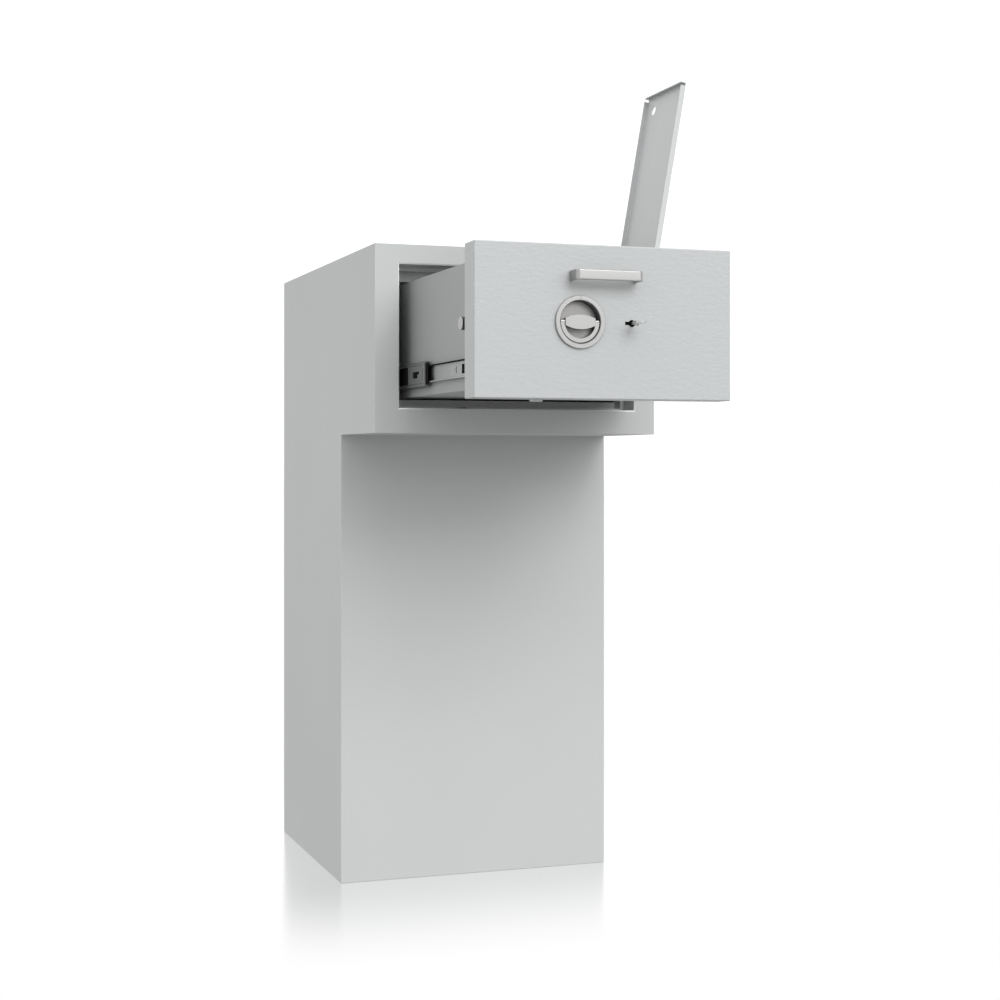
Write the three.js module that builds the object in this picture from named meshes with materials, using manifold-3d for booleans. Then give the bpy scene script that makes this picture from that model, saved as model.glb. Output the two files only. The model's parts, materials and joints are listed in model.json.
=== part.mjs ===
// A drop safe with a deposit drawer, in millimetres, +Z up.
// X runs to the right and Y to the back. The origin is the centre of the base's underside.
// The drawer stands pulled out with its lid open, as a clerk leaves it while filling it.
import * as THREE from "three";
import { mergeVertices } from "three/addons/utils/BufferGeometryUtils.js";
import Module from "manifold-3d";

const wasm = await Module();
wasm.setup();

const degree = Math.PI / 180;
const quarterTurn = 90 * degree;

// Gaps that every piece shares
const seam = 0.3; // between plates that are welded, screwed or rest on each other
const play = 0.5; // beside a piece that slides or turns
const overrun = 5; // how far a cutting shape runs past the wall it cuts

// How many flat sides a round form gets, or a curve of an outline
const facets = {
  ring: 48,
  disc: 40,
  hub: 32,
  bar: 24,
  barrel: 20,
  pin: 16,
  loop: 20,
  arc: 10,
  curve: 8,
  bend: 6,
};

// The cabinet: a narrow base under a deeper head
const cabinet = {
  width: 455,
  height: 1000,
  depth: 627,
  overhang: 204, // how far the head stands out in front of the base
  headHeight: 283,
  sheet: 4,
  frontPlate: 6,
  basePlate: 6,
};

// The drawer's mouth in the head, and the steel ring behind it that takes the bolts
const mouth = {
  leftMargin: 38,
  rightMargin: 34,
  bottomMargin: 35.5,
  topMargin: 29.5,
  ringWall: 8,
  rebate: 6, // how much narrower the ring is behind the drawer's front
  rebateStart: 42,
  ringEnd: 70,
  lowerLip: 16.5, // how high the ring rises behind the bolts, under the drawer
  upperLip: 20, // how far it hangs down there, above the drawer
};

// The drawer's chamber in the head, lined with sheet
const chamber = {
  rearWall: 52, // from the cabinet's back to the chamber
  sheet: 2,
  floorSheet: 4,
  slotStart: 252,
  slotRear: 70, // from the slot to the chamber's end
  slotMargin: 18,
};

// The vault below it
const vault = { frontWall: 38, floorWall: 38, rearWall: 39, sheet: 2 };
const anchor = { holeRadius: 7, spread: 240, firstRow: 90, lastRow: 300 };
const chute = { sheet: 2, drop: 120, run: 170, headroom: 20 };

// The rear door of the vault
const door = {
  sideMargin: 35.5, // from the vault's sides to the doorway
  headroom: 114.2, // from the doorway up to the chamber's floor
  bottom: 80,
  gap: 3,
  plate: 8,
  boxSheet: 2,
  boxDepth: 34,
  boxInset: 9,
  barrelRadius: 8,
  pinRadius: 4,
  barrelLength: 30,
  hingeInset: 90, // from the door's lower and upper edges to the middle of a hinge
};
const doorBolt = {
  radius: 9,
  throw: 18,
  bodyLength: 36,
  proud: 4,
  barWidth: 12,
  barSheet: 5,
  depthShare: 0.5, // where the bolts lie in the depth of the door's box
  endInset: 70,
};
const doorHandle = {
  hubRadius: 24,
  hubDepth: 12,
  gripLength: 96,
  gripWidth: 18,
  gripDepth: 16,
  spindleRadius: 6,
};
const doorLock = { width: 60, height: 84, depth: 16, drop: 120, keyholeRadius: 4 };

// The drawer
const drawer = {
  out: 340, // how far it stands pulled out
  gap: 4, // beside and above its front, in the mouth
  lowerGap: 5.5, // below its front
  frontDepth: 39.5,
  frontSheet: 3,
  rearRoom: 75.5, // from the box of the shut drawer to the chamber's end
  sheet: 2,
  bottom: 18.5, // the box's underside above the mouth's lower edge
  wallHeight: 174,
  boltRoom: 30.5, // from the front to the wall that closes the bolt work
  trayStart: 122.5, // from the front to the wall ahead of the deposit tray
};
const hardPlate = { sheet: 6, width: 240, bottom: 36, height: 115 };

// Telescopic slides with three members a side
const slide = {
  room: 13, // between the chamber's wall and the drawer's side
  centre: 48.5, // above the mouth's lower edge
  sheet: 1.5,
  start: 48,
  rearRoom: 77, // from the fixed member to the chamber's end
  middleStart: 70,
  middleShort: 8, // how far the middle member ends before the fixed one
  cabinetHeight: 45.7,
  cabinetDepth: 8.8,
  middleHeight: 36.7,
  middleDepth: 7.4,
  drawerHeight: 24.7,
  drawerDepth: 6.2,
  ballGap: 0.4, // from a member's curled edge to the next member
};

// The sweep flap that hangs in the chamber and wipes a deposit off the drawer's tray
const flap = {
  sheet: 2,
  place: 174, // behind the head's front face
  axisDrop: 5.5, // below the chamber's roof
  barrelRadius: 4,
  pinRadius: 2,
  floorGap: 5,
  sideGap: 5,
  lug: 4,
  lugInset: 60,
};

// The compartment lid and its hinge
const lid = {
  sideRoom: 79.7, // from the hinge's axis to the drawer's right side
  sheet: 1.5,
  flange: 8,
  sideGap: 1.5,
  frontGap: 1,
  width: 126,
  openAngle: 99.9,
  barrelRadius: 3.5,
  pinRadius: 1.5,
  hingeStart: 36, // from the front to the first barrel
  hingeLength: 80,
  hingeBarrels: 5,
  fingerHole: 6.5,
  holeFromEnd: 22,
  holeFromBack: 25,
  stopSheet: 2,
  stopHeight: 6,
  stopWidth: 24,
};

// The turning knob and its folding bail
const knob = {
  x: -37.6,
  z: 109.2,
  ringRadius: 35.9,
  ringBore: 29.15,
  ringDepth: 4,
  cupDepth: 13.5, // how far the cup in the ring goes in behind the front's face
  cupSheet: 1.3,
  floorSheet: 1.5,
  discRadius: 28.6,
  discDepth: 1.8,
  gripLength: 43.2,
  gripWidth: 19.5,
  gripEnd: 9.5,
  gripDrop: 0.6, // how far the grip stays behind the ring's face
  spindleRadius: 6,
};
const bail = {
  innerRadius: 22.4,
  outerRadius: 27.8,
  depth: 4,
  lugRadius: 2.2,
  axisDepth: 0.4, // of its pivots behind the front's face
  axisRise: 0.8, // of its pivots above the knob's centre
  pivotRadius: 1.5,
  pivotReach: 2.8,
};

// The bolts of the drawer and their drive
const bolt = {
  radius: 9,
  fromFront: 14.5, // behind the front's back plate
  z: 107.5,
  bottomOffset: 80.5, // of the lower bolt, left of the drawer's centre
  length: 57,
  lowerLength: 44,
  proud: 2, // beyond the front's edges when drawn
  throw: 18,
  barSheet: 4,
  bushWall: 4,
  bushLength: 9,
  barTail: 10,
  barOverlap: 8,
};
const drive = {
  discRadius: 18,
  discSheet: 4,
  pinRadius: 3,
  pinGap: 0.6,
  prong: 5,
  forkDepth: 13.4,
  lowerBar: 16,
};

// The key lock and its bolt, which blocks the knob's spindle
const lock = {
  x: 38.6,
  z: 109.1,
  width: 64,
  height: 84,
  depth: 16,
  boltLength: 34.2,
  boltHeight: 12,
  boltSheet: 5,
  boltThrow: 8,
  discRadius: 22,
  discSheet: 7,
  tipGap: 1.5,
};
const key = {
  shaftRadius: 3.25,
  shaftOut: 17,
  bitSpan: 19,
  bitSheet: 3,
  bitDepth: 8,
  bowWidth: 18,
  bowLength: 20,
  bowOverlap: 1,
  holeWidth: 20,
  holeHeight: 4.4,
  holeRadius: 4.1,
};

// The strap handle above the knob
const pull = { x: -3.8, z: 171, width: 98, height: 14, reach: 26, sheet: 5, bend: 7 };

// Places that follow from the sizes above
const baseDepth = cabinet.depth - cabinet.overhang;
const halfWidth = cabinet.width / 2;
const headBottom = cabinet.height - cabinet.headHeight;
const innerHalf = halfWidth - cabinet.sheet;
const mouthWidth = cabinet.width - mouth.leftMargin - mouth.rightMargin;
const mouthHeight = cabinet.headHeight - mouth.bottomMargin - mouth.topMargin;
const mouthX = (mouth.leftMargin - mouth.rightMargin) / 2;
const mouthBottom = headBottom + mouth.bottomMargin;
const mouthHalf = mouthWidth / 2;
const throatHalf = mouthHalf - mouth.rebate;
const throatTop = mouthHeight - mouth.rebate;
const frontHalf = mouthHalf - drawer.gap;
const frontTop = mouthHeight - drawer.gap;
const boxHalf = throatHalf - slide.room;
const boxInner = boxHalf - drawer.sheet;
const boxTop = drawer.bottom + drawer.wallHeight;
const chamberEnd = cabinet.depth - chamber.rearWall;
const boxStart = drawer.frontDepth + seam;
const boxEnd = chamberEnd - drawer.rearRoom;
const slideEnd = chamberEnd - slide.rearRoom;
const lidHinge = boxInner - lid.sideRoom;
const bottomBoltX = -bolt.bottomOffset;
const floorTop = drawer.bottom + drawer.sheet;
const boltY = drawer.frontDepth + bolt.fromFront;

const material = (color, roughness, metalness) =>
  new THREE.MeshStandardMaterial({ color, roughness, metalness });
const paint = material(0xc9cccb, 0.55, 0);
const innerPaint = material(0xb9bcbb, 0.6, 0);
const zinc = material(0xa9adb0, 0.35, 1);
const satin = material(0xcfd0ce, 0.3, 1);
const steel = material(0x8d9093, 0.4, 1);
const casting = material(0x8f8d88, 0.95, 0);

// A closed box between two places on each axis
function block([x0, x1], [y0, y1], [z0, z1]) {
  const box = new THREE.BoxGeometry(x1 - x0, y1 - y0, z1 - z0);
  return box.translate((x0 + x1) / 2, (y0 + y1) / 2, (z0 + z1) / 2);
}

const turns = {
  x: new THREE.Matrix4().makeRotationZ(-quarterTurn),
  y: new THREE.Matrix4(),
  z: new THREE.Matrix4().makeRotationX(quarterTurn),
};

// A round bar along an axis between two places, centred on the other two coordinates
function rod(axis, radius, [from, to], centre, sides = facets.bar) {
  const bar = new THREE.CylinderGeometry(radius, radius, to - from, sides);
  bar.applyMatrix4(turns[axis]);
  const place = { x: 0, y: 0, z: 0, ...centre, [axis]: (from + to) / 2 };
  return bar.translate(place.x, place.y, place.z);
}

// How an outline's two directions and its depth lie for each axis it is drawn along
const planes = {
  x: ["y", "z", 1],
  y: ["x", "z", -1],
  z: ["x", "y", 1],
};
const unit = {
  x: new THREE.Vector3(1, 0, 0),
  y: new THREE.Vector3(0, 1, 0),
  z: new THREE.Vector3(0, 0, 1),
};

// A shape drawn across an axis and extruded between two places on it
function prism(axis, shape, [from, to], curveSegments = facets.curve) {
  const [u, v, sign] = planes[axis];
  const solid = new THREE.ExtrudeGeometry(shape, {
    depth: to - from,
    bevelEnabled: false,
    curveSegments,
  });
  const along = unit[axis].clone().multiplyScalar(sign);
  const start = unit[axis].clone().multiplyScalar(sign > 0 ? from : to);
  return solid.applyMatrix4(
    new THREE.Matrix4().makeBasis(unit[u], unit[v], along).setPosition(start),
  );
}

function outline(points) {
  return new THREE.Shape(points.map(([u, v]) => new THREE.Vector2(u, v)));
}

function toSolid(geometry) {
  const bare = geometry.clone();
  bare.deleteAttribute("normal");
  bare.deleteAttribute("uv");
  const merged = mergeVertices(bare);
  return new wasm.Manifold(
    new wasm.Mesh({
      numProp: 3,
      vertProperties: merged.attributes.position.array,
      triVerts: merged.index.array,
    }),
  );
}

function toGeometry(solid) {
  const mesh = solid.getMesh();
  const geometry = new THREE.BufferGeometry();
  geometry.setAttribute("position", new THREE.BufferAttribute(mesh.vertProperties, 3));
  geometry.setIndex(new THREE.BufferAttribute(mesh.triVerts, 1));
  return geometry;
}

function cut(base, ...tools) {
  return toGeometry(tools.reduce((left, tool) => left.subtract(toSolid(tool)), toSolid(base)));
}

function join(first, ...others) {
  return toGeometry(others.reduce((all, one) => all.add(toSolid(one)), toSolid(first)));
}

function piece(group, name, geometry, finish) {
  const mesh = new THREE.Mesh(geometry, finish);
  mesh.name = name;
  group.add(mesh);
  return mesh;
}

// The same box on the left (-1) or right (+1) of a group's centre
function sideRange(side, inner, outer) {
  return side < 0 ? [-outer, -inner] : [inner, outer];
}

const sides = [
  ["left", -1],
  ["right", 1],
];

// The group's own frame: the floor, the centre line and the plane of the head's front face
const safe = new THREE.Group();
const housing = new THREE.Group();
housing.position.y = -(cabinet.overhang + baseDepth / 2);
safe.add(housing);

// The drawer's bay: the middle of the mouth's lower edge
const bay = new THREE.Group();
bay.position.set(mouthX, 0, mouthBottom);
housing.add(bay);

// Spans between the outer panels
const acrossInside = [-innerHalf + seam, innerHalf - seam];
const liningX = [mouthX - throatHalf - chamber.sheet, mouthX + throatHalf + chamber.sheet];
const backInside = cabinet.depth - cabinet.sheet - seam;
const chamberFloorZ = mouthBottom + mouth.rebate - chamber.floorSheet - seam;
const vaultEnd = cabinet.depth - vault.rearWall;
const doorWidth = throatHalf + throatHalf - door.sideMargin - door.sideMargin;
const doorHeight = chamberFloorZ - door.headroom - door.bottom;
const doorX = [mouthX - doorWidth / 2, mouthX + doorWidth / 2];
const doorZ = [door.bottom, door.bottom + doorHeight];

function buildShell() {
  const profile = outline([
    [0, headBottom],
    [cabinet.overhang, headBottom],
    [cabinet.overhang, 0],
    [cabinet.depth, 0],
    [cabinet.depth, cabinet.height],
    [0, cabinet.height],
  ]);
  for (const [name, side] of sides) {
    const span = sideRange(side, innerHalf, halfWidth);
    piece(housing, `side_panel_${name}`, prism("x", profile, span), paint);
  }
  piece(
    housing,
    "top_panel",
    block(acrossInside, [0, cabinet.depth], [cabinet.height - cabinet.sheet, cabinet.height]),
    paint,
  );
  const belowTop = cabinet.height - cabinet.sheet - seam;
  const mouthHole = block(
    [mouthX - mouthHalf, mouthX + mouthHalf],
    [-overrun, cabinet.frontPlate + overrun],
    [mouthBottom, mouthBottom + mouthHeight],
  );
  const face = block(acrossInside, [0, cabinet.frontPlate], [headBottom, belowTop]);
  piece(housing, "head_frame", cut(face, mouthHole), paint);
  piece(
    housing,
    "overhang_panel",
    block(
      acrossInside,
      [cabinet.frontPlate + seam, cabinet.overhang + cabinet.sheet],
      [headBottom, headBottom + cabinet.sheet],
    ),
    paint,
  );
  piece(
    housing,
    "knee_panel",
    block(
      acrossInside,
      [cabinet.overhang, cabinet.overhang + cabinet.sheet],
      [cabinet.basePlate + seam, headBottom - seam],
    ),
    paint,
  );
  const doorHole = block(
    doorX,
    [cabinet.depth - cabinet.sheet - overrun, cabinet.depth + overrun],
    doorZ,
  );
  const backSheet = block(
    acrossInside,
    [cabinet.depth - cabinet.sheet, cabinet.depth],
    [cabinet.basePlate + seam, belowTop],
  );
  piece(housing, "back_panel", cut(backSheet, doorHole), paint);
  const base = block(acrossInside, [cabinet.overhang, cabinet.depth], [0, cabinet.basePlate]);
  piece(housing, "base_plate", cut(base, ...anchorHoles()), paint);
}

// Four holes through the floor for the anchors that hold a safe down
function anchorHoles() {
  const holes = [];
  for (const x of [-anchor.spread / 2, anchor.spread / 2]) {
    for (const y of [anchor.firstRow, anchor.lastRow]) {
      const place = { x: mouthX + x, y: cabinet.overhang + y };
      const span = [-overrun, vault.floorWall + overrun];
      holes.push(rod("z", anchor.holeRadius, span, place, facets.pin));
    }
  }
  return holes;
}

// The steel ring behind the mouth, stepped in behind the drawer's front, with a hole for each bolt
// and lips that close in on the drawer from below and above
function buildStrikeFrame() {
  const outerHalf = mouthHalf + mouth.ringWall;
  const ring = block(
    [-outerHalf, outerHalf],
    [cabinet.frontPlate + seam, mouth.ringEnd],
    [-mouth.ringWall, mouthHeight + mouth.ringWall],
  );
  const frontBore = block(
    [-mouthHalf, mouthHalf],
    [0, mouth.rebateStart],
    [0, mouthHeight],
  );
  const rearBore = block(
    [-throatHalf, throatHalf],
    [0, mouth.ringEnd + overrun],
    [mouth.rebate, throatTop],
  );
  const holeRadius = bolt.radius + play + play;
  const groove = [mouth.rebateStart - overrun, boltY];
  const cutters = [frontBore, rearBore];
  for (const [, side] of sides) {
    const pocket = sideRange(side, throatHalf - overrun, mouthHalf);
    const through = sideRange(side, throatHalf - overrun, outerHalf + overrun);
    const high = [bolt.z - holeRadius, bolt.z + holeRadius];
    cutters.push(block(pocket, groove, high));
    cutters.push(rod("x", holeRadius, through, { y: boltY, z: bolt.z }));
  }
  const wide = [bottomBoltX - holeRadius, bottomBoltX + holeRadius];
  cutters.push(block(wide, groove, [0, mouth.rebate + overrun]));
  const down = [-mouth.ringWall - overrun, mouth.rebate + overrun];
  cutters.push(rod("z", holeRadius, down, { x: bottomBoltX, y: boltY }));
  const behindBolts = [boltY + holeRadius + seam, mouth.ringEnd];
  const across = [-throatHalf - overrun, throatHalf + overrun];
  const lips = [
    block(across, behindBolts, [mouth.rebate - overrun, mouth.lowerLip]),
    block(across, behindBolts, [mouthHeight - mouth.upperLip, throatTop + overrun]),
  ];
  piece(bay, "strike_frame", join(cut(ring, ...cutters), ...lips), innerPaint);
}

function buildChamber() {
  const along = [mouth.ringEnd + seam, chamberEnd];
  const outer = throatHalf + chamber.sheet;
  for (const [name, side] of sides) {
    const span = sideRange(side, throatHalf, outer);
    const wall = block(span, along, [mouth.rebate, throatTop]);
    piece(bay, `chamber_side_${name}`, wall, innerPaint);
  }
  const roofZ = [throatTop + seam, throatTop + seam + chamber.sheet];
  piece(bay, "chamber_roof", block([-outer, outer], along, roofZ), innerPaint);
  const floorZ = [mouth.rebate - seam - chamber.floorSheet, mouth.rebate - seam];
  const slotHalf = throatHalf - chamber.slotMargin;
  const slot = block(
    [-slotHalf, slotHalf],
    [chamber.slotStart, chamberEnd - chamber.slotRear],
    [floorZ[0] - overrun, floorZ[1] + overrun],
  );
  const floor = cut(block([-outer, outer], along, floorZ), slot);
  piece(bay, "chamber_floor", floor, innerPaint);
  const rear = [chamberEnd + seam, chamberEnd + seam + chamber.sheet];
  piece(bay, "chamber_rear_wall", block([-outer, outer], rear, [floorZ[0], roofZ[1]]), innerPaint);
}

function buildVault() {
  const front = cabinet.overhang + vault.frontWall;
  const floorZ = [vault.floorWall - vault.sheet, vault.floorWall];
  const wallZ = [vault.floorWall + seam, chamberFloorZ - seam];
  const along = [front + seam, vaultEnd];
  for (const [name, side] of sides) {
    const [inner, outer] = sideRange(side, throatHalf, throatHalf + chamber.sheet);
    const wall = block([mouthX + inner, mouthX + outer], along, wallZ);
    piece(housing, `vault_side_${name}`, wall, innerPaint);
  }
  const frontWall = block(liningX, [front - vault.sheet, front], wallZ);
  piece(housing, "vault_front_wall", frontWall, innerPaint);
  const floor = block(liningX, [front - vault.sheet, vaultEnd], floorZ);
  piece(housing, "vault_floor", cut(floor, ...anchorHoles()), innerPaint);

  // The sloping sheet under the slot that sends a deposit to the back and stops a hand
  const top = chamberFloorZ - chute.headroom;
  const slope = outline([
    [front + seam, top],
    [front + seam + chute.run, top - chute.drop],
    [front + seam + chute.run, top - chute.drop - chute.sheet],
    [front + seam, top - chute.sheet],
  ]);
  const within = [mouthX - throatHalf + seam, mouthX + throatHalf - seam];
  piece(housing, "deposit_chute", prism("x", slope, within), zinc);
}

// The hard casting between the outer panels and the linings, in one piece
function buildFilling() {
  const high = cabinet.height - cabinet.sheet - seam;
  const low = headBottom + cabinet.sheet + seam;
  const front = cabinet.overhang + cabinet.sheet + seam;
  const behindRing = mouth.ringEnd + overrun;
  const profile = outline([
    [behindRing, low],
    [front, low],
    [front, cabinet.basePlate + seam],
    [backInside, cabinet.basePlate + seam],
    [backInside, high],
    [behindRing, high],
  ]);
  const leftSlab = prism("x", profile, [acrossInside[0], liningX[0] - seam]);
  const rightSlab = prism("x", profile, [liningX[1] + seam, acrossInside[1]]);
  const across = [liningX[0] - overrun, liningX[1] + overrun];
  const underChamber = chamberFloorZ - seam;
  const liningFront = cabinet.overhang + vault.frontWall - vault.sheet - seam;
  const liningFloor = vault.floorWall - vault.sheet - seam;
  const roofLow = mouthBottom + throatTop + seam + chamber.sheet + seam;
  const rearStart = chamberEnd + seam + chamber.sheet + seam;
  const slabs = [
    block(across, [behindRing, liningFront], [low, underChamber]),
    block(across, [front, liningFront], [cabinet.basePlate + seam, low + overrun]),
    block(across, [front, backInside], [cabinet.basePlate + seam, liningFloor]),
    block(across, [behindRing, backInside], [roofLow, high]),
    block(across, [rearStart, backInside], [underChamber, high]),
  ];
  const whole = join(leftSlab, rightSlab, ...slabs);
  piece(housing, "wall_filling", cut(whole, ...anchorHoles()), casting);
}

// A channel that opens towards +X, with curled edges that hold the balls
function channel(height, depth, lip) {
  const half = height / 2;
  const inner = half - slide.sheet;
  const points = [
    [0, -half],
    [depth, -half],
    [depth, lip - half],
    [depth - slide.sheet, lip - half],
    [depth - slide.sheet, -inner],
    [slide.sheet, -inner],
    [slide.sheet, inner],
    [depth - slide.sheet, inner],
    [depth - slide.sheet, half - lip],
    [depth, half - lip],
    [depth, half],
    [0, half],
  ];
  return points;
}

// A slide member on one side: its web stands at a place measured from the chamber's wall inwards
function slideMember(side, web, towardsDrawer, points, span) {
  const facing = towardsDrawer ? -side : side;
  const place = side * (throatHalf - web);
  const drawn = points.map(([u, v]) => [place + facing * u, slide.centre + v]);
  return prism("y", outline(facing < 0 ? drawn.reverse() : drawn), span);
}

const middle = new THREE.Group();
middle.position.y = -drawer.out / 2;
bay.add(middle);

const tray = new THREE.Group();
tray.position.y = -drawer.out;
bay.add(tray);

function buildSlides() {
  const outerLip = (slide.cabinetHeight - slide.middleHeight) / 2 - slide.ballGap;
  const middleLip = (slide.middleHeight - slide.drawerHeight) / 2 - slide.ballGap;
  const outer = channel(slide.cabinetHeight, slide.cabinetDepth, outerLip);
  const inner = channel(slide.middleHeight, slide.middleDepth, middleLip);
  const half = slide.drawerHeight / 2;
  const rail = [
    [0, -half],
    [slide.drawerDepth, -half],
    [slide.drawerDepth, slide.sheet - half],
    [slide.sheet, slide.sheet - half],
    [slide.sheet, half - slide.sheet],
    [slide.drawerDepth, half - slide.sheet],
    [slide.drawerDepth, half],
    [0, half],
  ];
  const fixedSpan = [slide.start, slideEnd];
  const middleSpan = [slide.middleStart, slideEnd - slide.middleShort];
  const middleWeb = seam + slide.sheet + slide.sheet;
  for (const [name, side] of sides) {
    const fixed = slideMember(side, seam, true, outer, fixedSpan);
    piece(bay, `slide_cabinet_${name}`, fixed, zinc);
    const between = slideMember(side, middleWeb, true, inner, middleSpan);
    piece(middle, `slide_middle_${name}`, between, zinc);
    const carried = slideMember(side, slide.room - seam, false, rail, fixedSpan);
    piece(tray, `slide_drawer_${name}`, carried, zinc);
  }
}

// The flap hangs from a pin under the chamber's roof and swings to the back only
function buildFlap() {
  const axisZ = throatTop - flap.axisDrop;
  const half = boxInner - flap.sideGap;
  const bore = flap.pinRadius + seam;
  const leafZ = [floorTop + flap.floorGap, axisZ];
  const leaf = block([-half, half], [flap.place - flap.sheet / 2, flap.place + flap.sheet / 2], leafZ);
  const barrel = rod("x", flap.barrelRadius, [-half, half], { y: flap.place, z: axisZ });
  const hole = rod("x", bore, [-half - overrun, half + overrun], { y: flap.place, z: axisZ });
  const lugs = [-half + flap.lugInset, half - flap.lugInset];
  const room = flap.lug / 2 + play;
  const reach = flap.barrelRadius + play;
  const gaps = lugs.map((x) =>
    block(
      [x - room, x + room],
      [flap.place - reach, flap.place + reach],
      [axisZ - reach, axisZ + reach],
    ),
  );
  piece(bay, "sweep_flap", cut(join(leaf, barrel), hole, ...gaps), zinc);

  // Two lugs on a strip under the roof carry the pin, and the strip's edge stops the flap
  const stripZ = [throatTop - flap.sheet / 2, throatTop];
  const stopY = flap.place - flap.barrelRadius - play;
  const strip = block(
    [-half, half],
    [stopY - flap.sheet, flap.place + flap.barrelRadius],
    [stripZ[0], stripZ[1]],
  );
  const cheeks = lugs.flatMap((x) => {
    const wide = [x - flap.lug / 2, x + flap.lug / 2];
    const deep = [flap.place - flap.barrelRadius, flap.place + flap.barrelRadius];
    return [
      block(wide, deep, [axisZ, throatTop]),
      rod("x", flap.barrelRadius, wide, { y: flap.place, z: axisZ }),
    ];
  });
  const lip = block([-half, half], [stopY - flap.sheet, stopY], [axisZ - flap.barrelRadius, throatTop]);
  piece(bay, "flap_bracket", cut(join(strip, lip, ...cheeks), hole), zinc);
  const pin = rod("x", flap.pinRadius, [-half, half], { y: flap.place, z: axisZ }, facets.pin);
  piece(bay, "flap_pin", pin, steel);
}

// The hollow front of the drawer: a folded pan, its back plate and the hard plate between them
function keyhole(span) {
  const slot = block(
    [lock.x - key.holeWidth / 2, lock.x + key.holeWidth / 2],
    span,
    [lock.z - key.holeHeight / 2, lock.z + key.holeHeight / 2],
  );
  return [slot, rod("y", key.holeRadius, span, { x: lock.x, z: lock.z }, facets.pin)];
}

function spindleHole(span) {
  return rod("y", knob.spindleRadius + play, span, { x: knob.x, z: knob.z });
}

function buildFront() {
  const sheet = drawer.frontSheet;
  const depth = [0, drawer.frontDepth];
  const through = [-overrun, drawer.frontDepth + overrun];
  const slab = block([-frontHalf, frontHalf], depth, [drawer.lowerGap, frontTop]);
  const hollow = block(
    [-frontHalf + sheet, frontHalf - sheet],
    [sheet, drawer.frontDepth + overrun],
    [drawer.lowerGap + sheet, frontTop - sheet],
  );
  const holes = [...keyhole(through), spindleHole(through)];
  const cupHole = rod(
    "y",
    knob.ringBore + knob.cupSheet + seam,
    through,
    { x: knob.x, z: knob.z },
    facets.ring,
  );
  piece(tray, "drawer_front", cut(slab, hollow, ...keyhole(through), cupHole), paint);

  const rim = sheet + seam;
  const plate = block(
    [-frontHalf + rim, frontHalf - rim],
    [drawer.frontDepth - sheet, drawer.frontDepth],
    [drawer.lowerGap + rim, frontTop - rim],
  );
  piece(tray, "front_back_plate", cut(plate, ...holes), zinc);
  const hardEnd = drawer.frontDepth - rim;
  const hard = block(
    [-hardPlate.width / 2, hardPlate.width / 2],
    [hardEnd - hardPlate.sheet, hardEnd],
    [hardPlate.bottom, hardPlate.bottom + hardPlate.height],
  );
  piece(tray, "hard_plate", cut(hard, ...holes), steel);
}

function buildBox() {
  const along = [boxStart, boxEnd];
  const bushRadius = bolt.radius + play + bolt.bushWall;
  const bore = bolt.radius + play;
  for (const [name, side] of sides) {
    const wall = block(sideRange(side, boxInner, boxHalf), along, [drawer.bottom, boxTop]);
    const inside = sideRange(side, boxInner - bolt.bushLength, boxInner);
    const bush = rod("x", bushRadius, inside, { y: boltY, z: bolt.z });
    const hole = rod("x", bore, sideRange(side, boxInner - overrun - bolt.bushLength, frontHalf), {
      y: boltY,
      z: bolt.z,
    });
    piece(tray, `drawer_side_${name}`, cut(join(wall, bush), hole), innerPaint);
  }
  const across = [-boxInner + seam, boxInner - seam];
  const floor = block(across, along, [drawer.bottom, floorTop]);
  const floorBush = rod("z", bushRadius, [drawer.bottom, floorTop + bolt.bushLength / 2], {
    x: bottomBoltX,
    y: boltY,
  });
  const floorHole = rod("z", bore, [drawer.bottom - overrun, floorTop + bolt.bushLength + overrun], {
    x: bottomBoltX,
    y: boltY,
  });
  piece(tray, "drawer_floor", cut(join(floor, floorBush), floorHole), innerPaint);
  const wallZ = [floorTop + seam, boxTop];
  const boltWall = drawer.frontDepth + drawer.boltRoom;
  const trayWall = drawer.frontDepth + drawer.trayStart;
  piece(
    tray,
    "bolt_cover_wall",
    block(across, [boltWall, boltWall + drawer.sheet], wallZ),
    innerPaint,
  );
  piece(tray, "tray_wall", block(across, [trayWall, trayWall + drawer.sheet], wallZ), innerPaint);
}

// The lid's axis lies where its skin just clears the walls that it rests on
const lidAxisZ = boxTop + seam - (lid.barrelRadius - lid.sheet);
const lidStart = drawer.frontDepth + lid.frontGap;
const hingeStart = drawer.frontDepth + lid.hingeStart;
const lidGroup = new THREE.Group();
lidGroup.position.set(lidHinge, 0, lidAxisZ);
lidGroup.rotation.y = lid.openAngle * degree;
tray.add(lidGroup);

// The hinge's barrels belong in turn to the divider and to the lid
function barrelSpans(first) {
  const pitch = lid.hingeLength / lid.hingeBarrels;
  const spans = [];
  for (let index = first; index < lid.hingeBarrels; index += 2) {
    const start = hingeStart + index * pitch;
    spans.push([start + seam, start + pitch - seam]);
  }
  return spans;
}

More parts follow.
